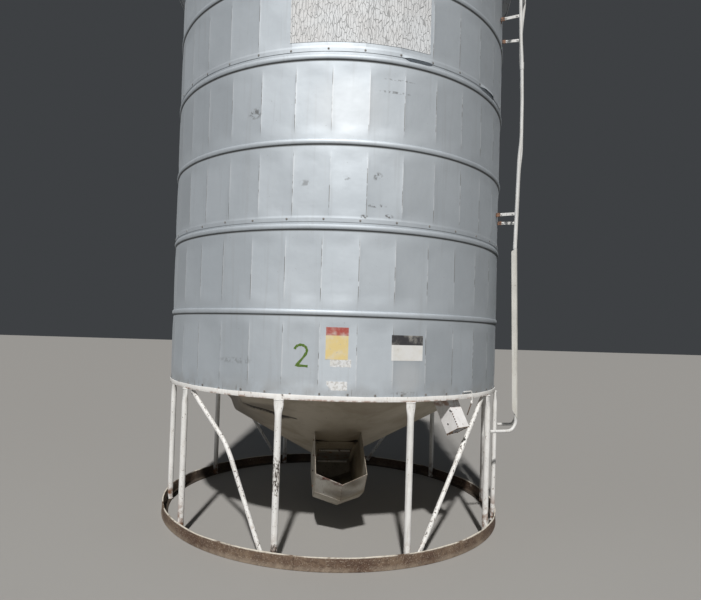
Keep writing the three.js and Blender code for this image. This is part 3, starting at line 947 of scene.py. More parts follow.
@dataclass(frozen=True)
class RingRust(Coating):
    """Brown rust and dried dirt on the ground ring, with old paint left on its top edge and
    painted shade on its inner face.
    """

    top: float
    inner_face: float
    rust: Colour = (0.095, 0.055, 0.036)
    tan: Colour = (0.20, 0.145, 0.10)
    scale: Colour = (0.085, 0.05, 0.035)
    grit: Colour = (0.42, 0.36, 0.29)
    old_paint: Colour = (0.60, 0.56, 0.49)
    edge_paint: Colour = (0.72, 0.68, 0.60)
    soil: Colour = (0.27, 0.22, 0.17)
    shade: Colour = (0.022, 0.017, 0.014)

    def lay(self, f: Finish) -> None:
        """Lays the rust, the dirt, the rests of paint and the painted shade.

        Args:
            f: the material in the making.
        """
        g = f.graph
        x, y, z = g.parts(f.place)
        cloud = f.noise(3.2, detail=7, rough=0.65)
        f.start(self.rust, self.tan, g.ease(cloud, 0.35, 0.68))
        scale = f.patches(24.0, 0.42, 0.08)
        f.coat(self.scale, scale, 0.55)
        f.coat(self.grit, f.patches(110.0, 0.3, 0.03), 0.5)
        more_right = g.ease(x, 0.5, 1.4, 0.25, 1.0)
        f.coat(self.old_paint, f.patches(17.0, 0.12, 0.02) * more_right)
        edge = g.ease(z, self.top - 0.012, self.top - 0.004)
        f.coat(self.edge_paint, edge * g.ease(f.noise(6.0, detail=6), 0.37, 0.5))
        f.coat(self.soil, g.ease(z, 0.012, 0.045, 1, 0) * g.ease(cloud, 0.3, 0.6), 0.75)
        # Painted shade: the ring's inner face darkens, except at its top edge.
        reach = g.vector_math("LENGTH", g.join(x, y, 0.0))
        inner = g.ease(reach, self.inner_face - 0.003, self.inner_face + 0.003, 0.8, 0)
        f.coat(self.shade, inner * (1.0 - edge))
        f.set(Roughness=cloud * 0.2 + 0.72)
        f.relief(f.noise(90.0, detail=5) * 0.6 + scale, 0.003, 0.9)


@dataclass(frozen=True)
class CrazedPaint(Coating):
    """Thick white paint of the large panel, crazed into long flakes."""

    paint: Colour = (0.75, 0.785, 0.82)
    dull: Colour = (0.69, 0.70, 0.715)
    crack: Colour = (0.28, 0.29, 0.30)

    def lay(self, f: Finish) -> None:
        """Lays the paint and its cracks.

        Args:
            f: the material in the making.
        """
        g = f.graph
        crack = g.effect(crazing(), Vector=f.place)["Crack"]
        f.start(self.paint, self.dull, g.ease(f.noise(4.0, detail=5), 0.3, 0.75))
        f.coat(self.crack, crack * g.ease(f.noise(14.0), 0.25, 0.5), 0.85)
        f.set(Roughness=0.62)
        f.relief(crack * -1.0, 0.0018)


@dataclass(frozen=True)
class PlateFinish(Coating):
    """Faded enamel of a blank plate, with a darker top band."""

    field: Colour
    band: Colour
    split: float
    wear: float
    faded: Colour = (0.66, 0.65, 0.60)
    worn: Colour = (0.45, 0.44, 0.42)

    def lay(self, f: Finish) -> None:
        """Lays the enamel, its band, its fading and its wear.

        Args:
            f: the material in the making.
        """
        g = f.graph
        z = g.parts(f.place)[2]
        f.start(self.field, self.band, g.ease(z, self.split - 0.0015, self.split + 0.0015))
        fade = f.noise(12.0, detail=6)
        f.coat(self.faded, g.ease(fade, 0.42, 0.8))
        f.coat(self.worn, f.patches(60.0, self.wear, 0.03), 0.6)
        f.set(Roughness=fade * 0.3 + 0.35)
        f.relief(f.noise(90.0, detail=3), 0.0006, 0.5)


@dataclass(frozen=True)
class BrushPaint(Coating):
    """Thin hand-brushed paint that lets the sheet show in places."""

    paint: Colour
    thin: Colour

    def lay(self, f: Finish) -> None:
        """Lays the paint in brush marks."""
        drag = f.streaks(160.0, 30.0, 0.35)
        f.start(self.paint, self.thin, drag * 0.7)
        f.set(Roughness=drag * 0.2 + 0.45)
        f.relief(drag, 0.0005, 0.6)


@dataclass(frozen=True)
class RustySteel(Coating):
    """Bare steel with an even brown rust, for the hook rod and dark fixings."""

    dark: Colour = (0.085, 0.055, 0.042)
    light: Colour = (0.27, 0.14, 0.085)

    def lay(self, f: Finish) -> None:
        """Lays the rust in two browns."""
        cloud = f.noise(40.0, detail=6)
        f.start(self.dark, self.light, f.graph.ease(cloud, 0.35, 0.65))
        f.set(Roughness=cloud * 0.2 + 0.62, Metallic=0.25)
        f.relief(f.noise(300.0, detail=3), 0.0008, 0.7)


@functools.cache
def fixings_round() -> Tree:
    """Geometry tree: screw heads on washers in a ring round the silo's axis."""
    g = Group("fixings_round", TreeKind.GEOMETRY, {
        "Count": 36, "Radius": 1.5, "Height": 1.0, "First": 0.0, "Step": 10.0,
        "Head Radius": 0.006, "Head Depth": 0.008, "Scatter": 0.006, "Seed": 1,
        "Material": SocketKind.FINISH}, "Geometry")
    spread = g.node("FunctionNodeRandomValue", {2: -1.0, 3: 1.0, "Seed": g["Seed"]})
    shift = g.out(spread, 1) * g["Scatter"]
    degrees = g.out(g.node("GeometryNodeInputIndex")) * g["Step"] + g["First"]
    turn = g.math("RADIANS", degrees + shift * 40.0)
    place = g.join(g.math("SINE", turn) * g["Radius"],
                   g.math("COSINE", turn) * (g["Radius"] * -1.0), g["Height"] + shift)
    spots = g.node("GeometryNodePoints", {"Count": g["Count"], "Position": place})
    both = g.node("GeometryNodeJoinGeometry")
    g.feed(both.inputs[0], g.rod(6, g["Head Radius"], g["Head Depth"]))
    g.feed(both.inputs[0], g.rod(12, g["Head Radius"] * 1.7, g["Head Depth"] * 0.45))
    return g.copies(g.out(spots), g.out(both), g.turned(math.pi / 2, 0.0, turn))


@functools.cache
def bars_in_line() -> Tree:
    """Geometry tree: like round bars or bolt heads set out along a line."""
    g = Group("bars_in_line", TreeKind.GEOMETRY, {
        "Start": (0, 0, 0), "End": (0, 0, 1), "Count": 5, "Axis": (1, 0, 0), "Radius": 0.01,
        "Length": 0.3, "Sides": 12, "Material": SocketKind.FINISH}, "Geometry")
    line = g.node("GeometryNodeMeshLine", {
        "Count": g["Count"], "Start Location": g["Start"], "Offset": g["End"],
    }, mode="END_POINTS")
    facing = g.node("FunctionNodeAlignRotationToVector", {"Vector": g["Axis"]}, axis="Z")
    return g.copies(g.out(line), g.rod(g["Sides"], g["Radius"], g["Length"]), g.out(facing))


@functools.cache
def bars_on_edges() -> Tree:
    """Geometry tree: a round bar along each edge of the piece's own mesh."""
    g = Group("bars_on_edges", TreeKind.GEOMETRY, {
        "Geometry": SocketKind.SHAPE, "Radius": 0.01, "Sides": 14,
        "Material": SocketKind.FINISH}, "Geometry")
    lines = g.node("GeometryNodeMeshToCurve", {"Mesh": g["Geometry"]})
    return g.coat(g.bar(g.out(lines), g["Sides"], g["Radius"]))


@functools.cache
def ribs_round() -> Tree:
    """Geometry tree: round ribs from an outer to an inner ring of the roof."""
    g = Group("ribs_round", TreeKind.GEOMETRY, {
        "Count": 18, "First": 0.0, "Outer": (0, -1.5, 4.8), "Inner": (0, -0.3, 5.5),
        "Radius": 0.012, "Material": SocketKind.FINISH}, "Geometry")
    line = g.node("GeometryNodeCurvePrimitiveLine", {"Start": g["Outer"], "End": g["Inner"]})
    step = g.math("DIVIDE", 360.0, g["Count"])
    turn = g.math("RADIANS", g.out(g.node("GeometryNodeInputIndex")) * step + g["First"])
    spots = g.node("GeometryNodePoints", {"Count": g["Count"]})
    return g.copies(g.out(spots), g.bar(g.out(line), 10, g["Radius"]), g.turned(0.0, 0.0, turn))


def grow(name: str, slot: Slot, tree: Tree, inputs: dict[str, object],
         edges: Sequence[tuple[Vector, Vector]] = ()) -> None:
    """Makes a plain mesh piece of the silo with a geometry tree, and hands it over.

    Args:
        name: the piece's name.
        slot: the record's slot for its finish.
        tree: the geometry tree.
        inputs: values for the tree's named inputs.
        edges: ends of the edges that the tree starts from, where it uses any.
    """
    mesh = bpy.data.meshes.new(name)
    mesh.from_pydata([point for edge in edges for point in edge],
                     [(2 * k, 2 * k + 1) for k in range(len(edges))], [])
    piece = new_object(name, mesh)
    work = piece.modifiers.new(tree.name, "NODES")
    work.node_group = tree
    for item in tree.interface.items_tree:
        if item.in_out == "INPUT" and item.name in inputs:
            work[item.identifier] = inputs[item.name]
    settle(piece)
    piece.data.shade_smooth()
    piece.data.set_sharp_from_angle(angle=math.radians(40))
    hand_over(piece, slot)


@dataclass
class WallSkin:
    """Outer face of the wall: round at beads and laps, flat-sided between them."""

    seed: int = 7
    corner_play: float = 0.0011
    ridge: float = 0.0007
    ridge_width: float = 0.004
    ripple: float = 0.0011
    round_in: float = 0.0016
    lap_step: float = 0.0026
    lap_tall: float = 0.026
    lap_end: float = 0.016
    flare_tall: float = 0.014
    beaded: Pair = (1.5, 4.4)

    def __post_init__(self) -> None:
        """Draws the small random shifts of the creases and the ripples once."""
        draw = np.random.default_rng(self.seed)
        self.corners = draw.uniform(-1, 1, (8, SIZES.facets)) * self.corner_play
        self.waves = [(int(draw.integers(3, 30)), float(draw.uniform(2, 14)),
                       float(draw.uniform(0, 6.28)), float(draw.uniform(0, 6.28)))
                      for _ in range(14)]

    def radius(self, azimuth: np.ndarray, height: np.ndarray, phase: float,
               lap: float | None = None) -> np.ndarray:
        """Radius of the outer face.

        Args:
            azimuth: directions in degrees.
            height: heights in metres, as many.
            phase: direction of a crease in degrees.
            lap: height of the course's lower edge where it laps over the one below.

        Returns:
            The radii in metres.
        """
        turn = (azimuth - phase) / SIZES.facet_angle
        which = np.floor(turn).astype(int)
        side = turn - which
        band = np.floor((height - SIZES.first_bead) / SIZES.bead_pitch).astype(int) + 1
        band = np.clip(band, 0, len(self.corners) - 1)
        here = self.corners[band, which % SIZES.facets]
        there = self.corners[band, (which + 1) % SIZES.facets]
        near = np.minimum(side, 1 - side) * SIZES.facet_width
        flat = (SIZES.wall_radius * flat_share(azimuth, phase) + here * (1 - side) + there * side
                + self.ridge * np.exp(-(near / self.ridge_width) ** 2))
        above = (height - SIZES.first_bead) % SIZES.bead_pitch
        away = np.minimum(above, SIZES.bead_pitch - above)
        window = smooth_step(*SIZES.flat_from_bead, away)
        face = SIZES.wall_radius - self.round_in
        result = face + (flat - face) * window + self.ripples(azimuth, height)
        has_bead = (height > self.beaded[0]) & (height < self.beaded[1])
        share = np.clip(1 - (away / SIZES.bead_half) ** 2, 0, 1)
        result = result + np.where(has_bead, SIZES.bead_out * np.sqrt(share), 0)
        if lap is None:
            return result
        closed = smooth_step(self.lap_tall, self.lap_tall + self.lap_end, height - lap)
        opened = 1 - smooth_step(0, self.flare_tall, height - lap)
        return result + self.lap_step * (1 - closed) + self.open_lap(azimuth, lap) * opened

    def ripples(self, azimuth: np.ndarray, height: np.ndarray) -> np.ndarray:
        """Slight unevenness of the sheet, with deeper waves above the ring at the front left."""
        turn = np.radians(azimuth)
        total = sum(np.sin(n * turn + a) * np.sin(m * height + b) for n, m, a, b in self.waves)
        total = total / len(self.waves) * self.ripple * 2
        dents = (bump(azimuth, -20, 17) * bump(height, 1.29, 0.11)
                 * np.sin(19 * turn + 21 * height) * 0.0042)
        return total + dents

    def open_lap(self, azimuth: np.ndarray, lap: float) -> np.ndarray:
        """How far the lap's edge stands open, at two places of the upper lap."""
        if lap != SIZES.lap_high:
            return np.zeros_like(azimuth)
        first = smooth_step(13.0, 14.6, azimuth) * (1 - smooth_step(20.8, 22.4, azimuth))
        second = smooth_step(42.4, 45, azimuth) * (1 - smooth_step(50.5, 53.4, azimuth))
        return 0.013 * first + 0.017 * second

    def point(self, azimuth: float, height: float, phase: float, lift: float) -> Vector:
        """Point on the face, lifted off it."""
        radius = self.radius(np.array([azimuth]), np.array([height]), phase)[0]
        return polar(float(radius) + lift, azimuth, height)


@dataclass
class WallCourse:
    """One course of wall sheets, a closed shell with its beads, flats and lower lap."""

    name: str
    bottom: float
    top: float
    phase: float
    laps_over: bool
    skin: WallSkin
    inner: float = 1.4885
    lap_back: float = 0.034
    least_step: float = 0.0006

    def azimuths(self) -> np.ndarray:
        """Directions of the columns, close together at each crease."""
        offsets = np.array([0, 0.13, 0.32, 1.0, 2.4, 3.8, 5.0, 6.2, 7.6, 9.0, 9.68, 9.87])
        starts = self.phase + np.arange(SIZES.facets) * SIZES.facet_angle
        return (starts[:, None] + offsets[None, :]).ravel()

    def heights(self) -> np.ndarray:
        """Heights of the rows, close together at each bead and at the lap."""
        rows = set(np.linspace(self.bottom, self.top, 13).tolist())
        for k in range(-1, 6):
            bead = SIZES.first_bead + k * SIZES.bead_pitch
            arcs = SIZES.bead_half * np.sin(np.radians(np.linspace(-90, 90, 11)))
            flats = np.linspace(*SIZES.flat_from_bead, 6)
            for offset in (*arcs, -0.0225, 0.0225, -0.03, 0.03, *flats, *-flats):
                rows.add(bead + offset)
        if self.laps_over:
            rows |= {self.bottom + d for d in (0.012, 0.024, 0.026, 0.03, 0.034, 0.042)}
        kept = sorted(z for z in rows if self.bottom <= z <= self.top)
        spaced = [kept[0]]
        for z in kept[1:]:
            if z - spaced[-1] > self.least_step:
                spaced.append(z)
        return np.array(spaced)

    def build(self, finish: Material) -> None:
        """Makes the course in its zinc."""
        turns, rows = self.azimuths(), self.heights()
        lap = self.bottom if self.laps_over else None
        outer = self.skin.radius(*np.meshgrid(turns, rows, indexing="ij"), self.phase, lap)
        section: Section = [(outer[:, i], z) for i, z in enumerate(rows)]
        low = self.bottom + (self.lap_back if self.laps_over else 0.0)
        section += [(self.inner, z) for z in (self.top, self.bottom + 0.06, low)]
        if self.laps_over:
            opened = self.skin.open_lap(turns, self.bottom)
            for z, share in ((self.bottom + 0.0255, 0.3), (self.bottom, 1.0)):
                section.append((SIZES.wall_radius + 0.0012 + share * opened, z))
        stock = Stock()
        stock.add_turned(section, turns)
        nodes = [f"wall_{self.name}_{side}" for side in ("front", "right", "left")]
        piece = stock.piece(f"wall_{self.name}_course", finish, sharp=50)
        hand_over(piece, Slot.ZINC, *nodes)


@dataclass(frozen=True)
class WallPatch:
    """A thin plate or coat that follows the wall's face."""

    name: str
    left: float
    right: float
    low: float
    high: float
    thick: float = 0.0014
    sunk: float = -0.0006
    columns: int = 12
    rows: int = 6
    ragged: float = 0.0
    phase: float = SIZES.phase_outer

    def build(self, skin: WallSkin, finish: Material) -> None:
        """Makes the patch.

        Args:
            skin: the wall's face.
            finish: its material.
        """
        draw = np.random.default_rng(len(self.name) + 11)
        turns = set(np.linspace(self.left, self.right, self.columns).tolist())
        step = SIZES.facet_angle
        crease = math.ceil((self.left - self.phase) / step) * step + self.phase
        while crease < self.right:
            turns |= {crease + d for d in (-0.32, -0.13, 0.0, 0.13, 0.32)}
            crease += step
        turns = sorted(t for t in turns if self.left <= t <= self.right)
        rows = np.linspace(self.low, self.high, self.rows)
        play = draw.uniform(-1, 1, (2, len(turns))) * self.ragged
        plays = [play[0], *[0 * play[0]] * (self.rows - 2), play[1]]
        front, back = ([[skin.point(t, z + up, self.phase, lift) for t, up in zip(turns, nudge)]
                        for z, nudge in zip(rows, plays)] for lift in (self.thick, self.sunk))
        loops = np.array(front + back[::-1], float).transpose(1, 0, 2)
        stock = Stock()
        stock.add_grid(loops)
        hand_over(stock.piece(self.name, finish), Slot.WHITE)


@dataclass(frozen=True)
class Numeral:
    """Hand-painted figure 2 on the wall, a brush stroke of paint."""

    left: float = -14.2
    right: float = -10.4
    low: float = 1.381
    high: float = 1.536
    brush: float = 0.0085
    section: tuple[Pair, ...] = (
        (-1, 0.0011), (0, 0.0016), (1, 0.0011), (1, -0.0008), (-1, -0.0008))

    def stroke(self) -> list[Pair]:
        """Centre line of the stroke in shares of the figure's width and height."""
        bow = [(0.44 + 0.44 * math.cos(a), 0.715 + 0.25 * math.sin(a))
               for a in np.radians(np.linspace(168, -22, 15))]
        slant = [(0.74, 0.50), (0.50, 0.30), (0.26, 0.12), (0.10, 0.025)]
        foot = [(0.30, 0.035), (0.60, 0.03), (0.97, 0.02)]
        return bow + slant + foot

    def build(self, skin: WallSkin, finish: Material) -> None:
        """Makes the figure as a thin coat on the wall."""
        line = [Vector((self.left + (self.right - self.left) * u,
                        self.low + (self.high - self.low) * v)) for u, v in self.stroke()]
        fine = [line[0]]
        for a, b in zip(line, line[1:]):
            fine += [a.lerp(b, k / 3) for k in (1, 2, 3)]
        metres = SIZES.degree_length
        rings = []
        for i, here in enumerate(fine):
            run = fine[min(i + 1, len(fine) - 1)] - fine[max(i - 1, 0)]
            flat = Vector((run.x * metres, run.y)).normalized()
            half = self.brush * (1 + 0.18 * math.sin(i * 0.9))
            side = Vector((-flat.y / metres, flat.x)) * half
            rings.append([skin.point(here.x + side.x * share, here.y + side.y * share,
                                     SIZES.phase_outer, lift) for share, lift in self.section])
        stock = Stock()
        stock.add_grid(np.array(rings, float))
        hand_over(stock.piece("painted_figure_two", finish), Slot.ZINC)


@dataclass
class Wall:
    """The wall: three courses, their screws, the crazed panel, the plates and the figure."""

    skin: WallSkin
    screw_radius: float = 0.0046

    def build(self) -> None:
        """Makes and dresses every piece of the wall."""
        scuffs = (Mark(3.3, 2.434, (0.035, 0.02)), Mark(9.9, 2.446, (0.05, 0.022)),
                  Mark(-28.2, 3.181, (0.075, 0.05), 0.8), Mark(6.5, 2.515, (0.09, 0.018), 0.9),
                  Mark(6.8, 2.72, (0.045, 0.04), 0.8), Mark(-12.8, 2.66, (0.05, 0.03), 0.5),
                  Mark(-1.6, 2.70, (0.03, 0.025), 0.7), Mark(10.8, 3.33, (0.16, 0.012), 0.7),
                  Mark(12.0, 3.42, (0.16, 0.008), 0.6), Mark(-32.0, 1.40, (0.2, 0.03), 0.35),
                  Mark(16.0, 1.21, (0.12, 0.015), 0.7))
        clean = (Mark(16.9, 1.315, (0.16, 0.16), 0.35), Mark(-2.0, 3.2, (0.34, 0.3), 0.25))
        outer = WallZinc("zinc_wall_outer_courses", SIZES.phase_outer, scuffs, clean).material()
        middle = WallZinc("zinc_wall_middle_course", SIZES.phase_middle, scuffs, clean).material()
        top = SIZES.roof_under(SIZES.wall_radius) - 0.004
        overlap = self.skin.lap_tall - 0.002
        for course, finish in (
                (WallCourse("lower", SIZES.wall_bottom, SIZES.lap_low + overlap,
                            SIZES.phase_outer, False, self.skin), outer),
                (WallCourse("middle", SIZES.lap_low, SIZES.lap_high + overlap,
                            SIZES.phase_middle, True, self.skin), middle),
                (WallCourse("upper", SIZES.lap_high, top, SIZES.phase_outer, True, self.skin),
                 outer)):
            course.build(finish)
        self.build_screws()
        self.build_patches()

    def build_screws(self) -> None:
        """Makes the screw rows above the laps and above the ring beam."""
        steel = RustySteel("dull_screw_steel", (0.19, 0.185, 0.18), (0.33, 0.32, 0.31)).material()
        rows = (("screws_upper_lap", SIZES.lap_high + 0.017, SIZES.facets, SIZES.phase_outer, 1),
                ("screws_low_lap", SIZES.lap_low + 0.017, SIZES.facets, SIZES.phase_outer, 2),
                ("screws_ring_beam", 1.192, 48, 0.1, 3))
        for name, height, count, first, seed in rows:
            grow(name, Slot.ZINC, fixings_round(), {
                "Count": count, "Radius": SIZES.wall_radius + 0.0012, "Height": height,
                "First": first, "Step": 360 / count, "Head Radius": self.screw_radius,
                "Head Depth": 0.009, "Scatter": 0.006, "Seed": seed, "Material": steel})

    def build_patches(self) -> None:
        """Makes the crazed panel, the blank plates, the paint remnants and the figure."""
        panel = CrazedPaint("crazed_white_paint").material()
        two_tone = PlateFinish("faded_yellow_plate", (0.72, 0.58, 0.27), (0.40, 0.08, 0.065),
                               1.602, 0.12).material()
        pale = PlateFinish("faded_white_plate", (0.74, 0.75, 0.75), (0.045, 0.045, 0.05),
                           1.548, 0.14).material()
        rest = PlateFinish("glue_and_paint_rest", (0.74, 0.76, 0.78), (0.70, 0.72, 0.74),
                           1.4, 0.45).material()
        for patch, finish in (
                (WallPatch("crazed_white_panel", -18.2, 21.3, 3.656, 4.118, thick=0.0022,
                           columns=40, rows=9), panel),
                (WallPatch("plate_red_over_yellow", -5.9, 0.1, 1.436, 1.659, rows=5), two_tone),
                (WallPatch("plate_black_over_white", 11.9, 21.4, 1.438, 1.617, rows=5), pale),
                (WallPatch("sticker_rest", -4.6, 1.0, 1.386, 1.437, thick=0.0008, rows=4,
                           ragged=0.004), rest),
                (WallPatch("small_sticker", -5.4, 0.1, 1.224, 1.286, thick=0.0008, rows=4,
                           ragged=0.0015), rest)):
            patch.build(self.skin, finish)
        green = BrushPaint("green_brush_paint", (0.085, 0.16, 0.022), (0.22, 0.28, 0.12))
        Numeral().build(self.skin, green.material())


@dataclass
class GroundRing:
    """Rolled angle on the ground, slightly dented, with rounded edges."""

    outer: float = 1.54
    top: float = 0.103
    thick: float = 0.010
    flange_in: float = 1.482
    flange: float = 0.008
    edge: float = 0.0025
    set_back: float = 0.0036

    def section(self, turns: np.ndarray) -> Section:
        """Closed section of the angle in each direction."""
        angle = np.radians(turns)
        sway = 0.0016 * (np.sin(7 * angle + 1) + np.sin(17 * angle + 2) * 0.7
                         + np.sin(31 * angle) * 0.5)
        crest = 0.0012 * (np.sin(23 * angle + 3) + np.sin(11 * angle))
        e = self.edge
        out = self.outer - self.set_back + sway
        web = out - self.thick
        top = self.top - 0.0024 + crest
        return [(self.flange_in, 0), (self.outer - 0.004, 0), (self.outer - 0.0012, e),
                (out, 0.03), (out, 0.06), (out, top - e), (out - e * 0.3, top - e * 0.3),
                (out - e, top), (web + e, top), (web + e * 0.3, top - e * 0.3), (web, top - e),
                (web, 0.05), (web, self.flange + e), (web - e, self.flange),
                (self.flange_in + e, self.flange), (self.flange_in, self.flange - e)]

    def build(self) -> None:
        """Makes the ring with its welded joints."""
        finish = RingRust("ring_rust_and_dirt", self.top,
                          self.outer - self.set_back - self.thick).material()
        turns = np.arange(0, 360, 1.0)
        stock = Stock()
        stock.add_turned(self.section(turns), turns)
        for azimuth in (-27.5, -12.5, 152):
            for k in range(9):
                centre = polar(self.outer - 0.0045, azimuth + 0.03 * (k % 3), 0.01 + k * 0.0105)
                stock.add_ball(centre, Vector((0.0065, 0.0065, 0.0072)))
        hand_over(stock.piece("ground_ring", finish), Slot.RUSTY, "base_ring")


@dataclass
class RingBeam:
    """Painted angle that carries the wall, with its welded joints."""

    outer: float = 1.507
    inner: float = 1.462
    web: float = 0.0062
    flange: float = 0.006
    edge: float = 0.002

    def section(self, turns: np.ndarray) -> Section:
        """Closed section of the angle in each direction."""
        angle = np.radians(turns)
        sway = 0.0007 * (np.sin(9 * angle) + np.sin(21 * angle + 1))
        out = self.outer + sway
        web = out - self.web
        bottom = SIZES.beam_bottom
        top = SIZES.beam_top + 0.0008 * np.sin(27 * angle + 2)
        e = self.edge
        return [(self.inner, bottom), (out - e, bottom), (out - e * 0.3, bottom + e * 0.3),
                (out, bottom + e), (out, top - e), (out - e * 0.3, top - e * 0.3), (out - e, top),
                (web + e * 0.5, top), (web, top - e), (web, bottom + self.flange),
                (self.inner, bottom + self.flange)]

    def build(self) -> None:
        """Makes the beam."""
        finish = ChippedPaint(
            "ring_beam_paint", (0.87, 0.87, 0.86), chips=0.08, chip_scale=22, dirt_and_shade=0.08,
            rust_and_shade_band=(SIZES.beam_bottom + 0.016, SIZES.beam_bottom + 0.002)).material()
        turns = np.arange(0, 360, 1.0)
        stock = Stock()
        stock.add_turned(self.section(turns), turns)
        for azimuth in (-23.7, 21.5, 97, 215):
            for k in range(5):
                centre = polar(self.outer - 0.001, azimuth, SIZES.beam_bottom + 0.004 + k * 0.007)
                stock.add_ball(centre, Vector((0.0035, 0.0035, 0.0045)))
        hand_over(stock.piece("wall_ring_beam", finish), Slot.WHITE, "ring_beam")


@dataclass
class Leg:
    """A pipe leg with a flattened top and a weld at each end."""

    name: str
    azimuth: float
    axis_radius: float = SIZES.leg_circle
    radius: float = 0.02415
    flat_width: float = 0.0365
    flat_depth: float = 0.0125
    top: float = SIZES.beam_bottom - 0.0004
    foot: float = SIZES.flange_top
    beads: int = 16

    def build(self, finish: Material) -> None:
        """Makes the leg in its paint."""
        heights = np.array([self.foot, 0.03, 0.25, 0.55, 0.85, 1.0, 1.03, 1.05, 1.07, 1.085, 1.1,
                            1.115, 1.135, self.top])
        flat = smooth_step(1.03, 1.115, heights)
        widths = self.radius + (self.flat_width - self.radius) * flat
        depths = self.radius + (self.flat_depth - self.radius) * flat
        path = [polar(self.axis_radius, self.azimuth, z) for z in heights]
        across = polar(1, self.azimuth + 90, 0)
        stock = Stock()
        stock.add_tube(path, widths, depths, across, sides=28)
        draw = np.random.default_rng(int(self.azimuth) + 50)
        for z, reach, depth in ((self.foot + 0.003, self.radius, self.radius),
                                (self.top - 0.004, self.flat_width - 0.003, self.flat_depth)):
            for k in range(self.beads):
                turn = 2 * math.pi * k / self.beads
                centre = polar(self.axis_radius + depth * math.sin(turn), self.azimuth, z)
                centre += across * reach * math.cos(turn)
                size = float(draw.uniform(0.0042, 0.0062))
                stock.add_ball(centre, Vector((size, size, min(size, 0.004))))
        hand_over(stock.piece(f"pipe_{self.name}", finish, sharp=60), Slot.WHITE, self.name)


@dataclass
class LegRing:
    """The ten legs and the thinner post at the ladder."""

    count: int = 10
    first: float = 18
    step: float = 36

    def build(self) -> None:
        """Makes the legs and the post."""
        plain = ChippedPaint("leg_paint", foot_rust=0.2).material()
        worn = ChippedPaint("worn_leg_paint", chips=0.14, chip_scale=58, foot_rust=0.24,
                            bare=(Mark(342, 0.62, (0.08, 0.22), 0.55, SIZES.leg_circle),
                                  Mark(342, 0.08, (0.08, 0.13), 0.62, SIZES.leg_circle)),
                            ).material()
        stub = ChippedPaint("rusted_stub_paint", chips=0.14, foot_rust=0.42).material()
        special = {10: worn, 2: stub, 9: stub}
        for i in range(self.count):
            leg = Leg(f"leg_{i + 1:02d}", self.first + i * self.step)
            leg.build(special.get(i + 1, plain))
        post = Leg("ladder_post", 70, SIZES.post_circle, radius=0.019, flat_width=0.025,
                   flat_depth=0.012)
        post.build(ChippedPaint("post_paint", chips=0.12, foot_rust=0.3).material())


@dataclass
class Brace:
    """A pipe brace with flattened ends, bolted or welded to the rings."""

    name: str
    path: list[Vector]
    sleeve: float | None = None
    radius: float = 0.017

    def build(self, finish: Material) -> None:
        """Makes the brace in its paint."""
        line = rounded_path(self.path, 0.05, 4)
        stations = [line[0]]
        for a, b in zip(line, line[1:]):
            count = max(1, int((b - a).length / 0.05))
            stations += [a.lerp(b, (k + 1) / count) for k in range(count)]
        lengths = np.cumsum([0] + [(b - a).length for a, b in zip(stations, stations[1:])])
        ends = np.minimum(lengths, lengths[-1] - lengths)
        flat = 1 - smooth_step(0.02, 0.11, ends)
        middle = (self.path[0] + self.path[-1]) / 2
        outward = Vector((middle.x, middle.y, 0)).normalized()
        across = outward.cross(Vector((0, 0, 1)))
        stock = Stock()
        stock.add_tube(stations, self.radius * (1 + 0.3 * flat), self.radius * (1 - 0.45 * flat),
                       across, sides=22)
        if self.sleeve:
            at = int(len(stations) * self.sleeve)
            stock.add_tube(stations[at:at + 4], self.radius + 0.0032, sides=22, across=across)
        hand_over(stock.piece(f"pipe_{self.name}", finish, sharp=50), Slot.WHITE, self.name)


def build_braces() -> None:
    """Makes the four braces; the front left one is bent and the front right one spliced."""
    plain = ChippedPaint("brace_paint", chips=0.26, chip_scale=44, foot_rust=0.2).material()

    def top(azimuth: float, drop: float = 0.0105) -> Vector:
        """Upper end of a brace."""
        return polar(1.485, azimuth, SIZES.beam_bottom - drop)

    def foot(azimuth: float) -> Vector:
        """Lower end of a brace."""
        return polar(1.509, azimuth, 0.06)

    bends = [Vector((-0.884, -1.152, 0.823)), Vector((-0.846, -1.181, 0.765)),
             Vector((-0.808, -1.210, 0.690)), Vector((-0.779, -1.233, 0.617))]
    Brace("brace_front_left", [top(-51, 0.013), *bends, foot(-21.5)]).build(plain)
    Brace("brace_front_right", [top(51), foot(21.5)], sleeve=0.30).build(plain)
    Brace("brace_rear_left", [top(-129), foot(-158.5)]).build(plain)
    Brace("brace_rear_right", [top(129), foot(158.5)]).build(plain)


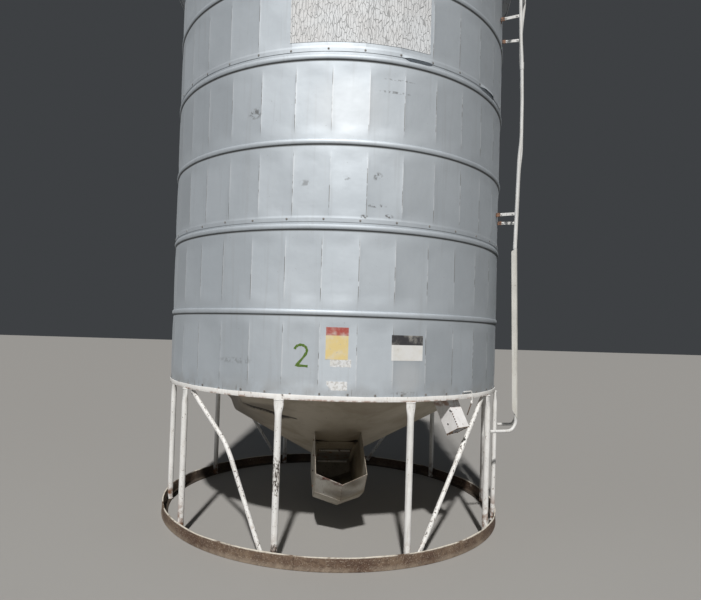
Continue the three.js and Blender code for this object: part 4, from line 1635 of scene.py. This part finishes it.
@dataclass
class HopperCone:
    """Sheet cone with its dent and fold at the front left, and its seams."""

    tip: float = 0.06
    rim: float = 1.4944
    sheet: float = 0.0025
    facet_share: float = 0.45
    fold_azimuth: float = -29
    fold_radius: float = 0.960
    fold_rise: float = 0.0181
    left_fold: tuple[Pair, Pair] = (
        (-0.890, -0.241), (-0.700, -1.290))

    def lift(self, radius: np.ndarray, turns: np.ndarray) -> np.ndarray:
        """How far the dent and its fold raise the underside."""
        dent = 0.03 * bump(turns, -28, 9) * bump(radius, 1.05, 0.12)
        left = np.clip(self.fold_azimuth - turns, 0, None)
        crest = self.fold_radius + self.fold_rise * left
        fold = (0.028 * bump(radius, crest, 0.013)
                * smooth_step(-43, -38, turns) * (1 - smooth_step(-29, -20, turns)))
        lip = (-0.020 * bump(radius, crest - 0.065, 0.045)
               * smooth_step(-44, -36, turns) * (1 - smooth_step(-31, -21, turns)))
        ripple = 0.0016 * np.sin(np.radians(turns) * 14 + radius * 5)
        return (dent + fold + lip + ripple * smooth_step(0.3, 0.8, radius)
                + self.pushed_in(radius, turns))

    def pushed_in(self, radius: np.ndarray, turns: np.ndarray) -> np.ndarray:
        """How far the sheet at the left is pushed up, beyond a straight fold."""
        x, y = radius * np.sin(np.radians(turns)), -radius * np.cos(np.radians(turns))
        (start_x, start_y), (end_x, end_y) = self.left_fold
        length = math.hypot(end_x - start_x, end_y - start_y)
        beyond = ((x - start_x) * (end_y - start_y) - (y - start_y) * (end_x - start_x)) / length
        room = SIZES.beam_bottom - 0.008 - SIZES.cone_under(radius)
        return (np.clip(room, 0, 0.085) * smooth_step(0.0, 0.06, beyond)
                * (1 - smooth_step(-0.1, 0.25, y)))

    def fold_shade(self, f: Finish) -> Signal:
        """Mask of the dark line along the fold in a material."""
        g = f.graph
        x, y, _ = g.parts(f.place)
        turn = g.bearing(x, y)
        bend = g.math("MAXIMUM", self.fold_azimuth - turn, 0.0)
        crest = bend * self.fold_rise + (self.fold_radius + 0.006)
        away = g.math("ABSOLUTE", g.vector_math("LENGTH", g.join(x, y, 0.0)) - crest)
        width = (f.noise(14.0) * 0.03 + 0.008) * g.ease(turn, -31.0, -21.0, 1.0, 0.3)
        line = g.ease(away - width, 0.0, 0.01, 0.95, 0)
        return line * g.ease(turn, -42.5, -39.0) * g.ease(turn, -21.0, -19.5, 1, 0)

    def surface(self, radius: np.ndarray, turns: np.ndarray, above: float) -> np.ndarray:
        """Points of the cone at flat-sided radii, at a height above the underside."""
        real = radius * (1 - self.facet_share + self.facet_share * flat_share(turns))
        height = SIZES.cone_under(radius) + self.lift(radius, turns) + above
        angle = np.radians(turns)
        return np.stack([real * np.sin(angle), -real * np.cos(angle), height], axis=-1)

    def build(self) -> None:
        """Makes the cone, open over the throat and the bagging spout."""
        # The marks at -32 and -66 degrees are painted shade above the fold and over the cone's
        # left side.
        finish = DustyCream("hopper_cream_paint", chips=0.05, grime_and_shade_marks=(
            Mark(-32, 1.02, (0.30, 0.06), 0.6, 1.17), Mark(-66, 1.0, (0.8, 0.5), 1.0, 1.2),
            Mark(1, 0.60, (0.30, 0.05), 0.45, 0.45)), fold=self.fold_shade).material()
        turns = np.concatenate([np.arange(-110, 10, 1.0), np.arange(10, 250, 2.0)])
        radii = np.concatenate([
            [self.tip, 0.2, 0.4], np.arange(0.5, 0.85, 0.07), np.arange(0.86, 1.25, 0.009),
            np.arange(1.26, 1.36, 0.02), [1.38, 1.42, 1.46, self.rim]])
        grid = np.meshgrid(turns, radii, indexing="ij")
        under = self.surface(grid[1], grid[0], 0.0)
        over = self.surface(grid[1][:, ::-1], grid[0][:, ::-1],
                            self.sheet / math.cos(math.atan(SIZES.cone_slope)))
        stock = Stock()
        stock.add_grid(np.concatenate([under, over], axis=1), closed_turn=True)
        piece = stock.piece("hopper_cone", finish, sharp=40)
        low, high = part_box("boot_throat")
        mouth = Stock()
        mouth.add_block((low.x + 0.012, -0.56, 0.35), (high.x - 0.012, -0.02, 0.8),
                        Matrix.Identity(4))
        mouth.add_block((-0.05, -0.05, -0.05), (0.05, 0.05, 0.05), BaggingSpout().place())
        cut_out(piece, mouth, finish, sharp=40)
        hand_over(piece, Slot.CREAM, "cone_front", "cone_right", "cone_left")


def cut_out(piece: Piece, tool: Stock, finish: Material,
            sharp: float) -> None:
    """Cuts a shape out of a piece.

    Args:
        piece: what is cut.
        tool: the shape.
        finish: the material of the cut faces.
        sharp: edges that turn by more than this many degrees are sharp afterwards.
    """
    shape = tool.piece("cutting_shape", finish)
    cutter = piece.modifiers.new("opening", "BOOLEAN")
    cutter.object = shape
    cutter.operation = "DIFFERENCE"
    cutter.solver = "EXACT"
    cutter.use_self = True
    settle(piece)
    piece.data.set_sharp_from_angle(angle=math.radians(sharp))
    bpy.data.objects.remove(shape)


@dataclass
class DischargeBoot:
    """Boot under the cone: two sides and a V-shaped trough that rises to an open lip.

    Both lines run from the back to the lip as (y, z): one where the trough meets the sides,
    one along its keel.
    """

    centre: float = 0.010
    keel: float = 0.017
    half: float = 0.190
    plate: float = 0.004
    edge: float = 0.0012
    shoulder: float = -0.745
    side_line: tuple[Pair, ...] = (
        (0.083, 0.257), (-0.720, 0.257), (-1.012, 0.387), (-1.185, 0.568))
    keel_line: tuple[Pair, ...] = (
        (0.083, 0.190), (-0.720, 0.190), (-1.068, 0.336), (-1.224, 0.499))

    def side(self, left: bool) -> Stock:
        """One side plate, up to the cone at the back and open above the lip."""
        x0 = self.centre + (-self.half - self.plate if left else self.half)
        reach = x0 + self.plate / 2
        crest = [(y, SIZES.cone_under(math.hypot(reach, y)) - 0.0006)
                 for y in (self.side_line[0][0], *np.linspace(0.0, self.shoulder, 14))]
        place = Matrix(((0, 0, 1, x0), (1, 0, 0, 0), (0, 1, 0, 0), (0, 0, 0, 1)))
        stock = Stock()
        stock.add_plate([*reversed(self.side_line), *crest], self.plate, place)
        return stock

    def trough(self, first: int, last: int, gap: float = 0.0) -> Stock:
        """The trough's folded sheet between two stations.

        Args:
            first: number of the first station.
            last: number of the last station.
            gap: how far it stands forward of its place.

        Returns:
            The sheet's stock.
        """
        low, inside = np.array(self.side_line), self.half - 0.0004
        rings = []
        for i in range(first, last + 1):
            run = low[min(i + 1, len(low) - 1)] - low[max(i - 1, 0)]
            inward = self.plate * np.array([0, run[1], -run[0]]) / np.hypot(*run)
            outer = np.array([(self.centre - inside, *low[i]), (self.keel, *self.keel_line[i]),
                              (self.centre + inside, *low[i])])
            rings.append(np.concatenate([outer, outer[::-1] + inward]))
        stock = Stock()
        stock.add_grid(np.array(rings) + np.array([0, -gap, gap]))
        return stock

    def build(self) -> None:
        """Makes the boot's plates and gives the throat plate its finish."""
        sides = DustyCream("boot_side_paint", (0.52, 0.49, 0.42), edges=0.004, chips=0.12,
                           rusty=(Mark(9.6, 0.52, (0.05, 0.04), 0.9, 1.17),)).material()
        front = DustyCream("boot_front_paint", (0.62, 0.60, 0.55), edges=0.004, chips=0.14,
                           rusty=(Mark(-6.0, 0.535, (0.08, 0.022), 1.0, 1.20),
                                  Mark(-1.0, 0.50, (0.07, 0.03), 0.7, 1.21)),
                           grime_and_shade_marks=(Mark(0.9, 0.40, (0.2, 0.05), 0.5, 1.12),
                                  Mark(5.0, 0.50, (0.10, 0.05), 0.5, 1.18))).material()
        for left in (True, False):
            name = "left" if left else "right"
            piece = soften(self.side(left).piece(f"boot_{name}_plate", sides), self.edge)
            hand_over(piece, Slot.CREAM, f"boot_side_{name}")
        floor = self.trough(0, 2).piece("boot_trough", sides, sharp=15)
        hand_over(soften(floor, self.edge), Slot.CREAM, "boot_floor")
        lip = self.trough(2, 3, gap=0.0004).piece("boot_front_lip", front, sharp=15)
        hand_over(soften(lip, self.edge), Slot.CREAM, "boot_front")
        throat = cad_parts["boot_throat"]
        throat.data.materials.clear()
        throat.data.materials.append(DustyCream("throat_plate_paint", (0.50, 0.47, 0.40),
                                                edges=0.004, chips=0.2).material())
        self.build_fixings(front)

    def build_fixings(self, finish: Material) -> None:
        """Makes the weld along the keel and the bolts on the boot's sides."""
        start, end = (Vector((self.keel, y, z)) for y, z in self.keel_line[2:])
        rise = (end - start).normalized()
        grow("boot_keel_weld", Slot.CREAM, bars_in_line(), {
            "Start": start + rise * 0.006, "End": end - rise * 0.006, "Count": 28, "Axis": rise,
            "Radius": 0.0036, "Length": 0.0086, "Sides": 8, "Material": finish})
        steel = RustySteel("boot_bolt_steel").material()
        for side, reach in (("left", -1), ("right", 1)):
            x = self.centre + reach * (self.half + self.plate + 0.003)
            grow(f"boot_{side}_bolts", Slot.RUSTY, bars_in_line(), {
                "Start": Vector((x, -0.70, 0.34)), "End": Vector((x, -0.70, 0.72)), "Count": 4,
                "Axis": Vector((1, 0, 0)), "Radius": 0.0075, "Length": 0.009, "Sides": 6,
                "Material": steel})


@dataclass
class BaggingSpout:
    """Small square box that stands on the cone's underside at the front right, open below."""

    azimuth: float = 36.2
    radius: float = 1.3545
    half_width: float = 0.066
    half_height: float = 0.063
    depth: float = 0.265
    sheet: float = 0.003
    inset: float = 0.0012
    holes: tuple[Pair, ...] = ((0.050, -0.125), (-0.016, -0.205))
    hole_radius: float = 0.009

    def place(self) -> Matrix:
        """Frame of the spout: x across, y up the cone, z into the cone."""
        tilt = math.atan(SIZES.cone_slope)
        across = polar(1, self.azimuth - 90, 0)
        up = polar(math.cos(tilt), self.azimuth, math.sin(tilt))
        into = across.cross(up)
        centre = polar(self.radius, self.azimuth, SIZES.cone_under(self.radius))
        axes = Matrix((across, up, into)).transposed().to_4x4()
        return Matrix.Translation(centre) @ axes

    def build(self) -> None:
        """Makes the box with its holes, the seam down its corner and its rusted lip."""
        # The brown band near the box's top is painted shade of the ring beam.
        tin = ChippedPaint("spout_paint", (0.86, 0.86, 0.87), chips=0.06, chip_scale=40,
                           dirt_and_shade=0.1, rust_and_shade_band=(1.074, 1.098)).material()
        at = self.place()
        solid = Stock()
        solid.add_block((-self.half_width, -self.half_height, -self.depth),
                        (self.half_width, self.half_height, -0.0005), at)
        piece = soften(solid.piece("bagging_spout_box", tin), 0.0022)
        hollow = Stock()
        inner_x, inner_y = self.half_width - self.sheet, self.half_height - self.sheet
        hollow.add_block((-inner_x, -inner_y, -self.depth - 0.05), (inner_x, inner_y, 0.05), at)
        drill = Matrix.Rotation(math.pi / 2, 4, "Y")
        for y, z in self.holes:
            ring = [(math.cos(a) * self.hole_radius, math.sin(a) * self.hole_radius)
                    for a in np.linspace(0, 2 * math.pi, 12, endpoint=False)]
            hollow.add_plate(ring, 0.03, at @ Matrix.Translation((inner_x - 0.012, y, z)) @ drill)
        cut_out(piece, hollow, tin, sharp=20)
        hand_over(piece, Slot.WHITE, "bagging_spout")
        self.build_edge(at)

    def build_edge(self, at: Matrix) -> None:
        """Makes the broken weld down the box's front corner and the rusted lower lip."""
        steel = RustySteel("spout_edge_rust", (0.07, 0.045, 0.035), (0.30, 0.19, 0.11)).material()
        x, y = self.half_width - self.inset, self.half_height - self.inset
        grow("bagging_spout_stitches", Slot.RUSTY, bars_in_line(), {
            "Start": at @ Vector((x, y, -0.135)), "End": at @ Vector((x, y, 0.012 - self.depth)),
            "Count": 7, "Axis": at.to_3x3() @ Vector((0, 0, 1)), "Radius": 0.0036,
            "Length": 0.011, "Sides": 8, "Material": steel})
        draw = np.random.default_rng(5)
        lip = Stock()
        low = -self.depth - 0.001
        corners = [Vector((-x, -y, low)), Vector((x, -y, low)), Vector((x, y, low)),
                   Vector((-x, y, low))]
        for start, end in zip(corners, corners[1:] + corners[:1]):
            path = [at @ (start.lerp(end, t) + Vector((0, 0, float(draw.uniform(-0.001, 0.002)))))
                    for t in np.linspace(0, 1, 9)]
            lip.add_tube(path, draw.uniform(0.0018, 0.0034, len(path)),
                         across=Vector((0.3, 0.2, 1)), sides=8)
        rag = [(-y, 0.0), (y * 0.1, 0.0), (-0.012, -0.012), (-0.022, -0.007), (-0.034, -0.017),
               (-0.046, -0.006), (-y, -0.013)]
        turned = at @ Matrix(((0, 0, 1, x - 0.001), (1, 0, 0, 0), (0, 1, 0, low), (0, 0, 0, 1)))
        lip.add_plate(rag, 0.0015, turned)
        hand_over(lip.piece("bagging_spout_lip", steel), Slot.RUSTY)


def build_hook_rod() -> None:
    """Makes the bent rod that hangs over the ring beam beside the spout."""
    out, rod, across = 1.5115, 0.0042, Vector((0.2, 0.1, 1))
    corners = [polar(out, 37.4, 1.204), polar(out, 41.4, 1.204), polar(out, 41.8, 1.13),
               polar(out, 39.3, 1.026)]
    stock = Stock()
    path = rounded_path(corners, 0.014)
    bend = len(path) - 2
    stock.add_tube(path[:bend], rod, across=across, sides=12, slot=1)
    stock.add_tube(path[bend - 1:], rod, across=across, sides=12)
    paint = ChippedPaint("rod_knob_paint", chips=0.1).material()
    knob = corners[2].lerp(corners[3], 0.12)
    stock.add_ball(knob, Vector((0.011, 0.011, 0.016)), slot=1)
    steel = RustySteel("hook_rod_steel", (0.06, 0.045, 0.038), (0.17, 0.12, 0.09)).material()
    hand_over(stock.piece("spout_hook_rod", steel, paint), Slot.RUSTY, "spout_hook")


def dress_gate() -> None:
    """Gives the slide gate's solid a rusty galvanised finish and its lips their pale paint."""
    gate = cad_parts["slide_gate"]
    gate.data.materials.clear()
    gate.data.materials.append(PlainZinc("gate_zinc", (0.40, 0.39, 0.37), rust=0.35,
                                         metallic=0.4).material())
    LOG.info("slide_gate keeps its solid, with a new finish")
    tilt = math.atan(SIZES.cone_slope)
    across, up = Vector((1, 0, 0)), Vector((0, -math.cos(tilt), math.sin(tilt)))
    slope = Matrix((across, up, across.cross(up))).transposed().to_4x4()
    slope.translation = (DischargeBoot.centre, -0.062, 0.3899)
    lips = Stock()
    for along, low, high in ((0.394, 0.0135, 0.0275), (0.074, 0.0135, 0.030)):
        lips.add_block((-0.137, along, low), (0.137, along + 0.0012, high), slope)
    paint = ChippedPaint("gate_lip_paint", (0.88, 0.87, 0.83), chips=0.2).material()
    hand_over(lips.piece("gate_lip_paint_strips", paint), Slot.ZINC, body=GATE_BODY)


@dataclass
class Roof:
    """Conical roof of flat sheets with lap ribs, a turned-down rim, a collar and a lid."""

    thick: float = 0.0058
    inner: float = 0.2576
    rim_drop: float = 0.018
    collar: float = 0.256
    lid: float = 0.292
    screw_rows: tuple[float, ...] = (1.545, 1.1, 0.7, 0.32)

    def section(self, turns: np.ndarray) -> Section:
        """Closed section of the roof sheet in each direction, flat-sided as the wall."""
        flat = flat_share(turns)
        sag = 0.002 * np.sin(np.radians(turns) * 18)
        edge = SIZES.eave_radius
        under = SIZES.roof_under
        rows = [(edge - 0.003, under(edge) - self.rim_drop), (edge, under(edge) - self.rim_drop),
                (edge, under(edge) + self.thick * 0.6),
                (edge - 0.004, under(edge) + self.thick + 0.001)]
        rows += [(r, under(r) + self.thick) for r in (1.3, 1.0, 0.7, 0.45, self.inner)]
        rows += [(r, under(r)) for r in (self.inner, 0.6, 1.1, edge - 0.004)]
        return [(r * flat, z + sag * (0.3 < r < 1.4)) for r, z in rows]

    def build(self) -> None:
        """Makes the roof sheets, ribs, screws, collar and lid."""
        zinc = PlainZinc("roof_zinc", rust=0.12).material()
        offsets = np.array([0, 0.3, 2.5, 5, 7.5, 9.7])
        turns = (SIZES.phase_outer + np.arange(SIZES.facets)[:, None] * SIZES.facet_angle
                 + offsets[None, :]).ravel()
        stock = Stock()
        stock.add_turned(self.section(turns), turns)
        hand_over(stock.piece("roof_sheets", zinc), Slot.ZINC, "roof_front", "roof_right",
                  "roof_left")
        outer, inner = SIZES.eave_radius - 0.012, self.inner + 0.004
        grow("roof_lap_ribs", Slot.ZINC, ribs_round(), {
            "Count": SIZES.facets // 2, "First": SIZES.phase_outer,
            "Outer": Vector((0, -outer, SIZES.roof_under(outer) + self.thick)),
            "Inner": Vector((0, -inner, SIZES.roof_under(inner) + self.thick)),
            "Radius": 0.009, "Material": zinc})
        steel = RustySteel("roof_screw_steel").material()
        for row, radius in enumerate(self.screw_rows):
            grow(f"roof_screws_{row + 1}", Slot.ZINC, fixings_round(), {
                "Count": SIZES.facets, "Radius": radius, "Step": SIZES.facet_angle,
                "Height": SIZES.roof_under(radius) + self.thick,
                "First": SIZES.phase_outer + SIZES.facet_angle / 2, "Head Radius": 0.006,
                "Head Depth": 0.008, "Scatter": 0.002, "Seed": 20 + row, "Material": steel})
        self.build_collar(zinc)
        self.build_lid(zinc)

    def build_collar(self, zinc: Material) -> None:
        """Makes the filler collar with a rolled upper edge."""
        out, thin = self.collar, 0.0035
        stock = Stock()
        stock.add_turned([(out - thin, 5.49), (out, 5.49), (out, 5.606), (out + 0.0014, 5.612),
                          (out, 5.6198), (out - thin, 5.6198)], np.arange(0, 360, 5.0))
        hand_over(stock.piece("roof_filler_collar", zinc), Slot.ZINC, "filler_collar")

    def build_lid(self, zinc: Material) -> None:
        """Makes the lid with its rim, ribs and handle."""
        out = self.lid
        stock = Stock()
        stock.add_turned([(0.001, 5.6895), (0.05, 5.684), (0.15, 5.669), (out - 0.006, 5.646),
                          (out - 0.001, 5.641), (out, 5.63), (out, 5.598), (out - 0.004, 5.598),
                          (out - 0.004, 5.6204), (0.001, 5.6204)], np.arange(0, 360, 5.0))
        handle = rounded_path([polar(0.12, 66, 5.66), polar(0.13, 66, 5.685),
                               polar(0.22, 66, 5.682), polar(0.235, 66, 5.645)], 0.015)
        stock.add_tube(handle, 0.005, across=Vector((0.5, -0.2, 1)), sides=10)
        for turn in range(0, 360, 60):
            start, end = polar(0.06, turn, 5.6835), polar(out - 0.02, turn, 5.649)
            stock.add_tube([start, end], 0.006, 0.004, polar(1, turn + 90, 0), sides=8)
        hand_over(stock.piece("roof_filler_lid", zinc), Slot.ZINC, "filler_lid")


@dataclass
class Ladder:
    """Side ladder of two pipes, bowed and splayed, with rungs, brackets and a sheet guard."""

    azimuth: float = 67
    half: float = 0.175
    pipe: float = 0.0135
    rung: float = 0.01
    pitch: float = 0.305
    first_rung: float = 1.01
    last_rung: float = 4.975
    foot: float = 0.85
    line: tuple[Pair, ...] = (
        (0.91, 1.687), (2.42, 1.648), (3.14, 1.665), (3.30, 1.680), (3.62, 1.679),
        (3.99, 1.670), (4.14, 1.660), (4.50, 1.650), (5.12, 1.650))
    splay_from: float = 4.36
    splay_to: float = 4.64
    splay: float = 0.028
    splits: Pair = (2.383, 3.907)
    brackets: tuple[Pair, ...] = ((2.668, 2.660), (4.362, 4.335))
    bracket_half: float = 0.0125
    guard_low: float = 0.954
    guard_high: float = 2.358
    guard_flange: float = 0.028
    guard_slant: float = 0.068

    def across(self) -> Vector:
        """Direction across the ladder."""
        return polar(1, self.azimuth + 90, 0)

    def at(self, across: float, radius: float, height: float) -> Vector:
        """Point by its distance across the ladder, out from the axis and up."""
        return polar(radius, self.azimuth, height) + self.across() * across

    def reach(self, sign: int, height: float) -> float:
        """Radius of the near (-1) or far (1) stringer at a height."""
        radius = float(np.interp(height, *zip(*self.line)))
        if sign > 0:
            radius += float(np.interp(height, (self.splay_from, self.splay_to), (0, self.splay)))
        return radius

    def on(self, sign: int, height: float) -> Vector:
        """Point on a stringer's centre line."""
        return self.at(sign * self.half, self.reach(sign, height), height)

    def stringer(self, sign: int) -> list[Vector]:
        """Centre line of a stringer, from its foot on the leg or post to the roof."""
        anchor = (polar(SIZES.leg_circle, 54, self.foot) if sign < 0
                  else polar(SIZES.post_circle, 70, self.foot))
        stand = 0.0265 if sign < 0 else 0.0215
        low = self.on(sign, self.foot)
        touch = anchor + (low - anchor).normalized() * stand
        turned = low.lerp(anchor, 0.16)
        heights = sorted([z for z, _ in self.line] + [self.splay_from, self.splay_to])
        top = self.reach(sign, heights[-1])
        landing = SIZES.roof_under(top - 0.35) + 0.009
        crook = ((0.07, 5.23), (0.22, 5.25), (0.32, 5.19), (0.35, landing))
        return [touch, turned, *(self.on(sign, z) for z in heights),
                *(self.at(sign * self.half, top - back, z) for back, z in crook)]

    def build(self) -> None:
        """Makes the three lengths of the ladder, the rungs, brackets and guard."""
        paint = ChippedPaint("ladder_paint", (0.72, 0.73, 0.73), chips=0.1,
                             chip_scale=44).material()
        ends = [self.foot - 0.1, *self.splits, 5.4]
        across = self.across()
        for name, low, high in zip(("lower", "middle", "upper"), ends, ends[1:]):
            stock = Stock()
            for sign in (-1, 1):
                line = rounded_path(self.stringer(sign), 0.05)
                stock.add_tube(self.cut_line(line, low, high), self.pipe, across=across)
                if name != "lower":
                    joint = self.on(sign, low)
                    up = Vector((0, 0, 0.045))
                    stock.add_tube([joint - up * 0.3, joint + up], self.pipe + 0.0022,
                                   across=across)
            hand_over(stock.piece(f"ladder_stringers_{name}", paint, sharp=50), Slot.WHITE,
                      f"ladder_{name}")
        self.build_rungs(paint)
        self.build_brackets(paint)
        self.build_guard()

    def cut_line(self, line: list[Vector], low: float, high: float) -> list[Vector]:
        """Part of a stringer's line between two heights, by its way along the line."""
        kept: list[Vector] = []
        inside = low < self.foot
        for a, b in zip(line, line[1:]):
            if inside:
                kept.append(a)
            elif a.z <= low <= b.z:
                kept.append(a.lerp(b, (low - a.z) / (b.z - a.z)))
                inside = True
            if inside and a.z <= high <= b.z:
                return [*kept, a.lerp(b, (high - a.z) / (b.z - a.z))]
        return [*kept, line[-1]]

    def build_rungs(self, paint: Material) -> None:
        """Makes the rungs with a geometry tree."""
        count = round((self.last_rung - self.first_rung) / self.pitch) + 1
        heights = [self.first_rung + k * self.pitch for k in range(count)]
        grow("ladder_rungs", Slot.WHITE, bars_on_edges(), {
            "Radius": self.rung, "Sides": 14, "Material": paint,
        }, [(self.on(-1, z), self.on(1, z)) for z in heights])

    def build_brackets(self, paint: Material) -> None:
        """Makes the flat brackets to the wall with their bolts and the dark cleats behind."""
        steel = RustySteel("bracket_cleat_steel").material()
        stock = Stock()
        stand, tall = 1.4985, self.bracket_half
        for heights in self.brackets:
            for sign, height in zip((-1, 1), heights):
                end = self.on(sign, height)
                far = math.hypot(end.x, end.y)
                place = Matrix.Rotation(math.atan2(end.x, -end.y), 4, "Z")
                stock.add_block((-0.003, -far, height - tall),
                                (0.003, -stand - 0.02, height + tall), place)
                stock.add_block((-0.004, -stand - 0.035, height - tall - 0.003),
                                (0.004, -stand, height + tall + 0.003), place, slot=1)
                stock.add_block((-0.004, -stand - 0.005, height - tall - 0.003),
                                (0.036, -stand, height + tall + 0.003), place, slot=1)
                for x, y in ((0.0, -far + 0.03), (0.0, -stand - 0.045)):
                    bolt = place @ Vector((x, y, height))
                    stock.add_ball(bolt, Vector((0.010, 0.010, 0.008)))
        piece = soften(stock.piece("ladder_brackets", paint, steel), 0.0008)
        hand_over(piece, Slot.WHITE)

    def build_guard(self) -> None:
        """Makes the folded sheet over the ladder's lower part, with a crease and cut corners."""
        finish = ChippedPaint("guard_paint", (0.62, 0.62, 0.59), chips=0.06,
                              chip_scale=30).material()
        thin, fold, corner, crease = 0.0024, 0.006, 0.018, 1.665
        gap = self.pipe + 0.0006
        half = self.half + gap
        rings = []
        for z in (self.guard_low, 1.05, 1.3, 1.6, crease - 0.01, crease, crease + 0.01, 1.72, 2.0,
                  2.3, *(self.guard_high - corner * t for t in (1, 0.7, 0.45, 0.2, 0))):
            line = self.reach(-1, z)
            press = 0.0016 * math.exp(-((z - crease) / 0.012) ** 2)
            under_top = max(0.0, corner - (self.guard_high - z))
            trim = corner - math.sqrt(corner ** 2 - under_top ** 2)
            rise = self.guard_slant if z == self.guard_low else 0.0
            face = line + gap
            loop = [(half, line - self.guard_flange + trim, rise, True),
                    (half, face - fold, 0.1 * rise, True), (half - fold, face, 0.0, False),
                    (half * 0.5, face + press, 0.0, False)]
            outer = [(s + thin * flange, r + thin * (not flange), up)
                     for s, r, up, flange in loop]
            inner = [(s, r, up) for s, r, up, _ in loop]
            rings.append([self.at(side * s, r, z + up) for side, part in (
                (-1, outer), (1, outer[::-1]), (1, inner), (-1, inner[::-1]))
                for s, r, up in part])
        stock = Stock()
        stock.add_grid(np.array(rings, float))
        hand_over(stock.piece("ladder_guard_sheet", finish, sharp=45), Slot.WHITE, "ladder_guard")


@dataclass
class Studio:
    """Camera at the photograph's viewing angle, pale floor and soft light."""

    frame_width: float = 701
    frame_height: float = 600
    focal: float = 531.6253
    middle: Pair = (333.77, 318.83)
    eye_height: float = 1.631
    distance: float = 5.1666
    bearing: float = -3.8
    yaw: float = -0.0012
    pitch: float = 0.0234
    roll: float = 0.0309
    sensor: float = 36
    light_azimuth: float = -7
    light_elevation: float = 46
    key_energy: float = 3.6
    fill_energy: float = 0.1
    floor_half: float = 60.0

    def build(self) -> None:
        """Makes the camera, the floor, the lights and the surroundings."""
        self.add_camera()
        self.add_floor()
        self.add_lights()

    def add_camera(self) -> None:
        """Makes the camera that was fitted to the photograph."""
        lens = bpy.data.cameras.new("front_view")
        lens.sensor_width = self.sensor
        lens.lens = self.focal * self.sensor / self.frame_width
        lens.shift_x = (self.frame_width / 2 - self.middle[0]) / self.frame_width
        lens.shift_y = (self.middle[1] - self.frame_height / 2) / self.frame_width
        eye = new_object("front_view", lens)
        ahead = Vector((math.sin(self.yaw) * math.cos(self.pitch),
                        math.cos(self.yaw) * math.cos(self.pitch), math.sin(self.pitch)))
        level = Vector((math.cos(self.yaw), -math.sin(self.yaw), 0))
        above = level.cross(ahead)
        right = level * math.cos(self.roll) + above * math.sin(self.roll)
        up = above * math.cos(self.roll) - level * math.sin(self.roll)
        turned = Matrix((right, up, -ahead)).transposed()
        swing = Matrix.Rotation(math.radians(self.bearing), 3, "Z")
        place = swing @ Vector((0, -self.distance, self.eye_height))
        eye.matrix_world = Matrix.Translation(place) @ (swing @ turned).to_4x4()
        bpy.context.scene.camera = eye

    def add_floor(self) -> None:
        """Makes the pale floor."""
        f = Finish("pale_floor")
        f.set(Base_Color=(0.36, 0.355, 0.345), Roughness=0.9)
        mesh = bpy.data.meshes.new("floor")
        wide, low = self.floor_half, -0.001
        mesh.from_pydata([(-wide, -wide, low), (wide, -wide, low), (wide, wide, low),
                          (-wide, wide, low)], [], [(0, 1, 2, 3)])
        mesh.materials.append(f.material)
        floor = new_object("floor", mesh)

    def add_sun(self, name: str, energy: float, spread: float, colour: Colour,
                towards: Vector) -> None:
        """Makes a sun.

        Args:
            name: its name.
            energy: its strength.
            spread: its width in the sky in degrees.
            colour: its colour.
            towards: direction to it.
        """
        sun = bpy.data.lights.new(name, "SUN")
        sun.energy = energy
        sun.angle = math.radians(spread)
        sun.color = colour
        lamp = new_object(name, sun)
        lamp.rotation_mode = "QUATERNION"
        lamp.rotation_quaternion = towards.to_track_quat("Z", "Y")

    def add_lights(self) -> None:
        """Makes the high key light, a weak fill and the even surroundings."""
        rise = math.radians(self.light_elevation)
        self.add_sun("high_key", self.key_energy, 2.5, (1.0, 0.97, 0.93),
                     polar(math.cos(rise), self.light_azimuth, math.sin(rise)))
        self.add_sun("left_fill", self.fill_energy, 60, (0.86, 0.92, 1.0),
                     polar(0.9, -70, 0.43))
        world = bpy.data.worlds.new("soft_surroundings")
        world.use_nodes = True
        sky = world.node_tree.nodes["Background"]
        sky.inputs["Color"].default_value = (0.80, 0.86, 0.93, 1)
        sky.inputs["Strength"].default_value = 0.06
        scene = bpy.context.scene
        scene.world = world
        scene.view_settings.view_transform = "Standard"


def main() -> None:
    """Builds the silo's sub-assemblies in order, from the studio to the roof."""
    logging.basicConfig(level=logging.INFO, format="%(name)s: %(message)s")
    Studio().build()
    skin = WallSkin()
    GroundRing().build()
    RingBeam().build()
    LegRing().build()
    build_braces()
    Wall(skin).build()
    HopperCone().build()
    DischargeBoot().build()
    dress_gate()
    BaggingSpout().build()
    build_hook_rod()
    Roof().build()
    Ladder().build()


if __name__ == "__main__":
    main()
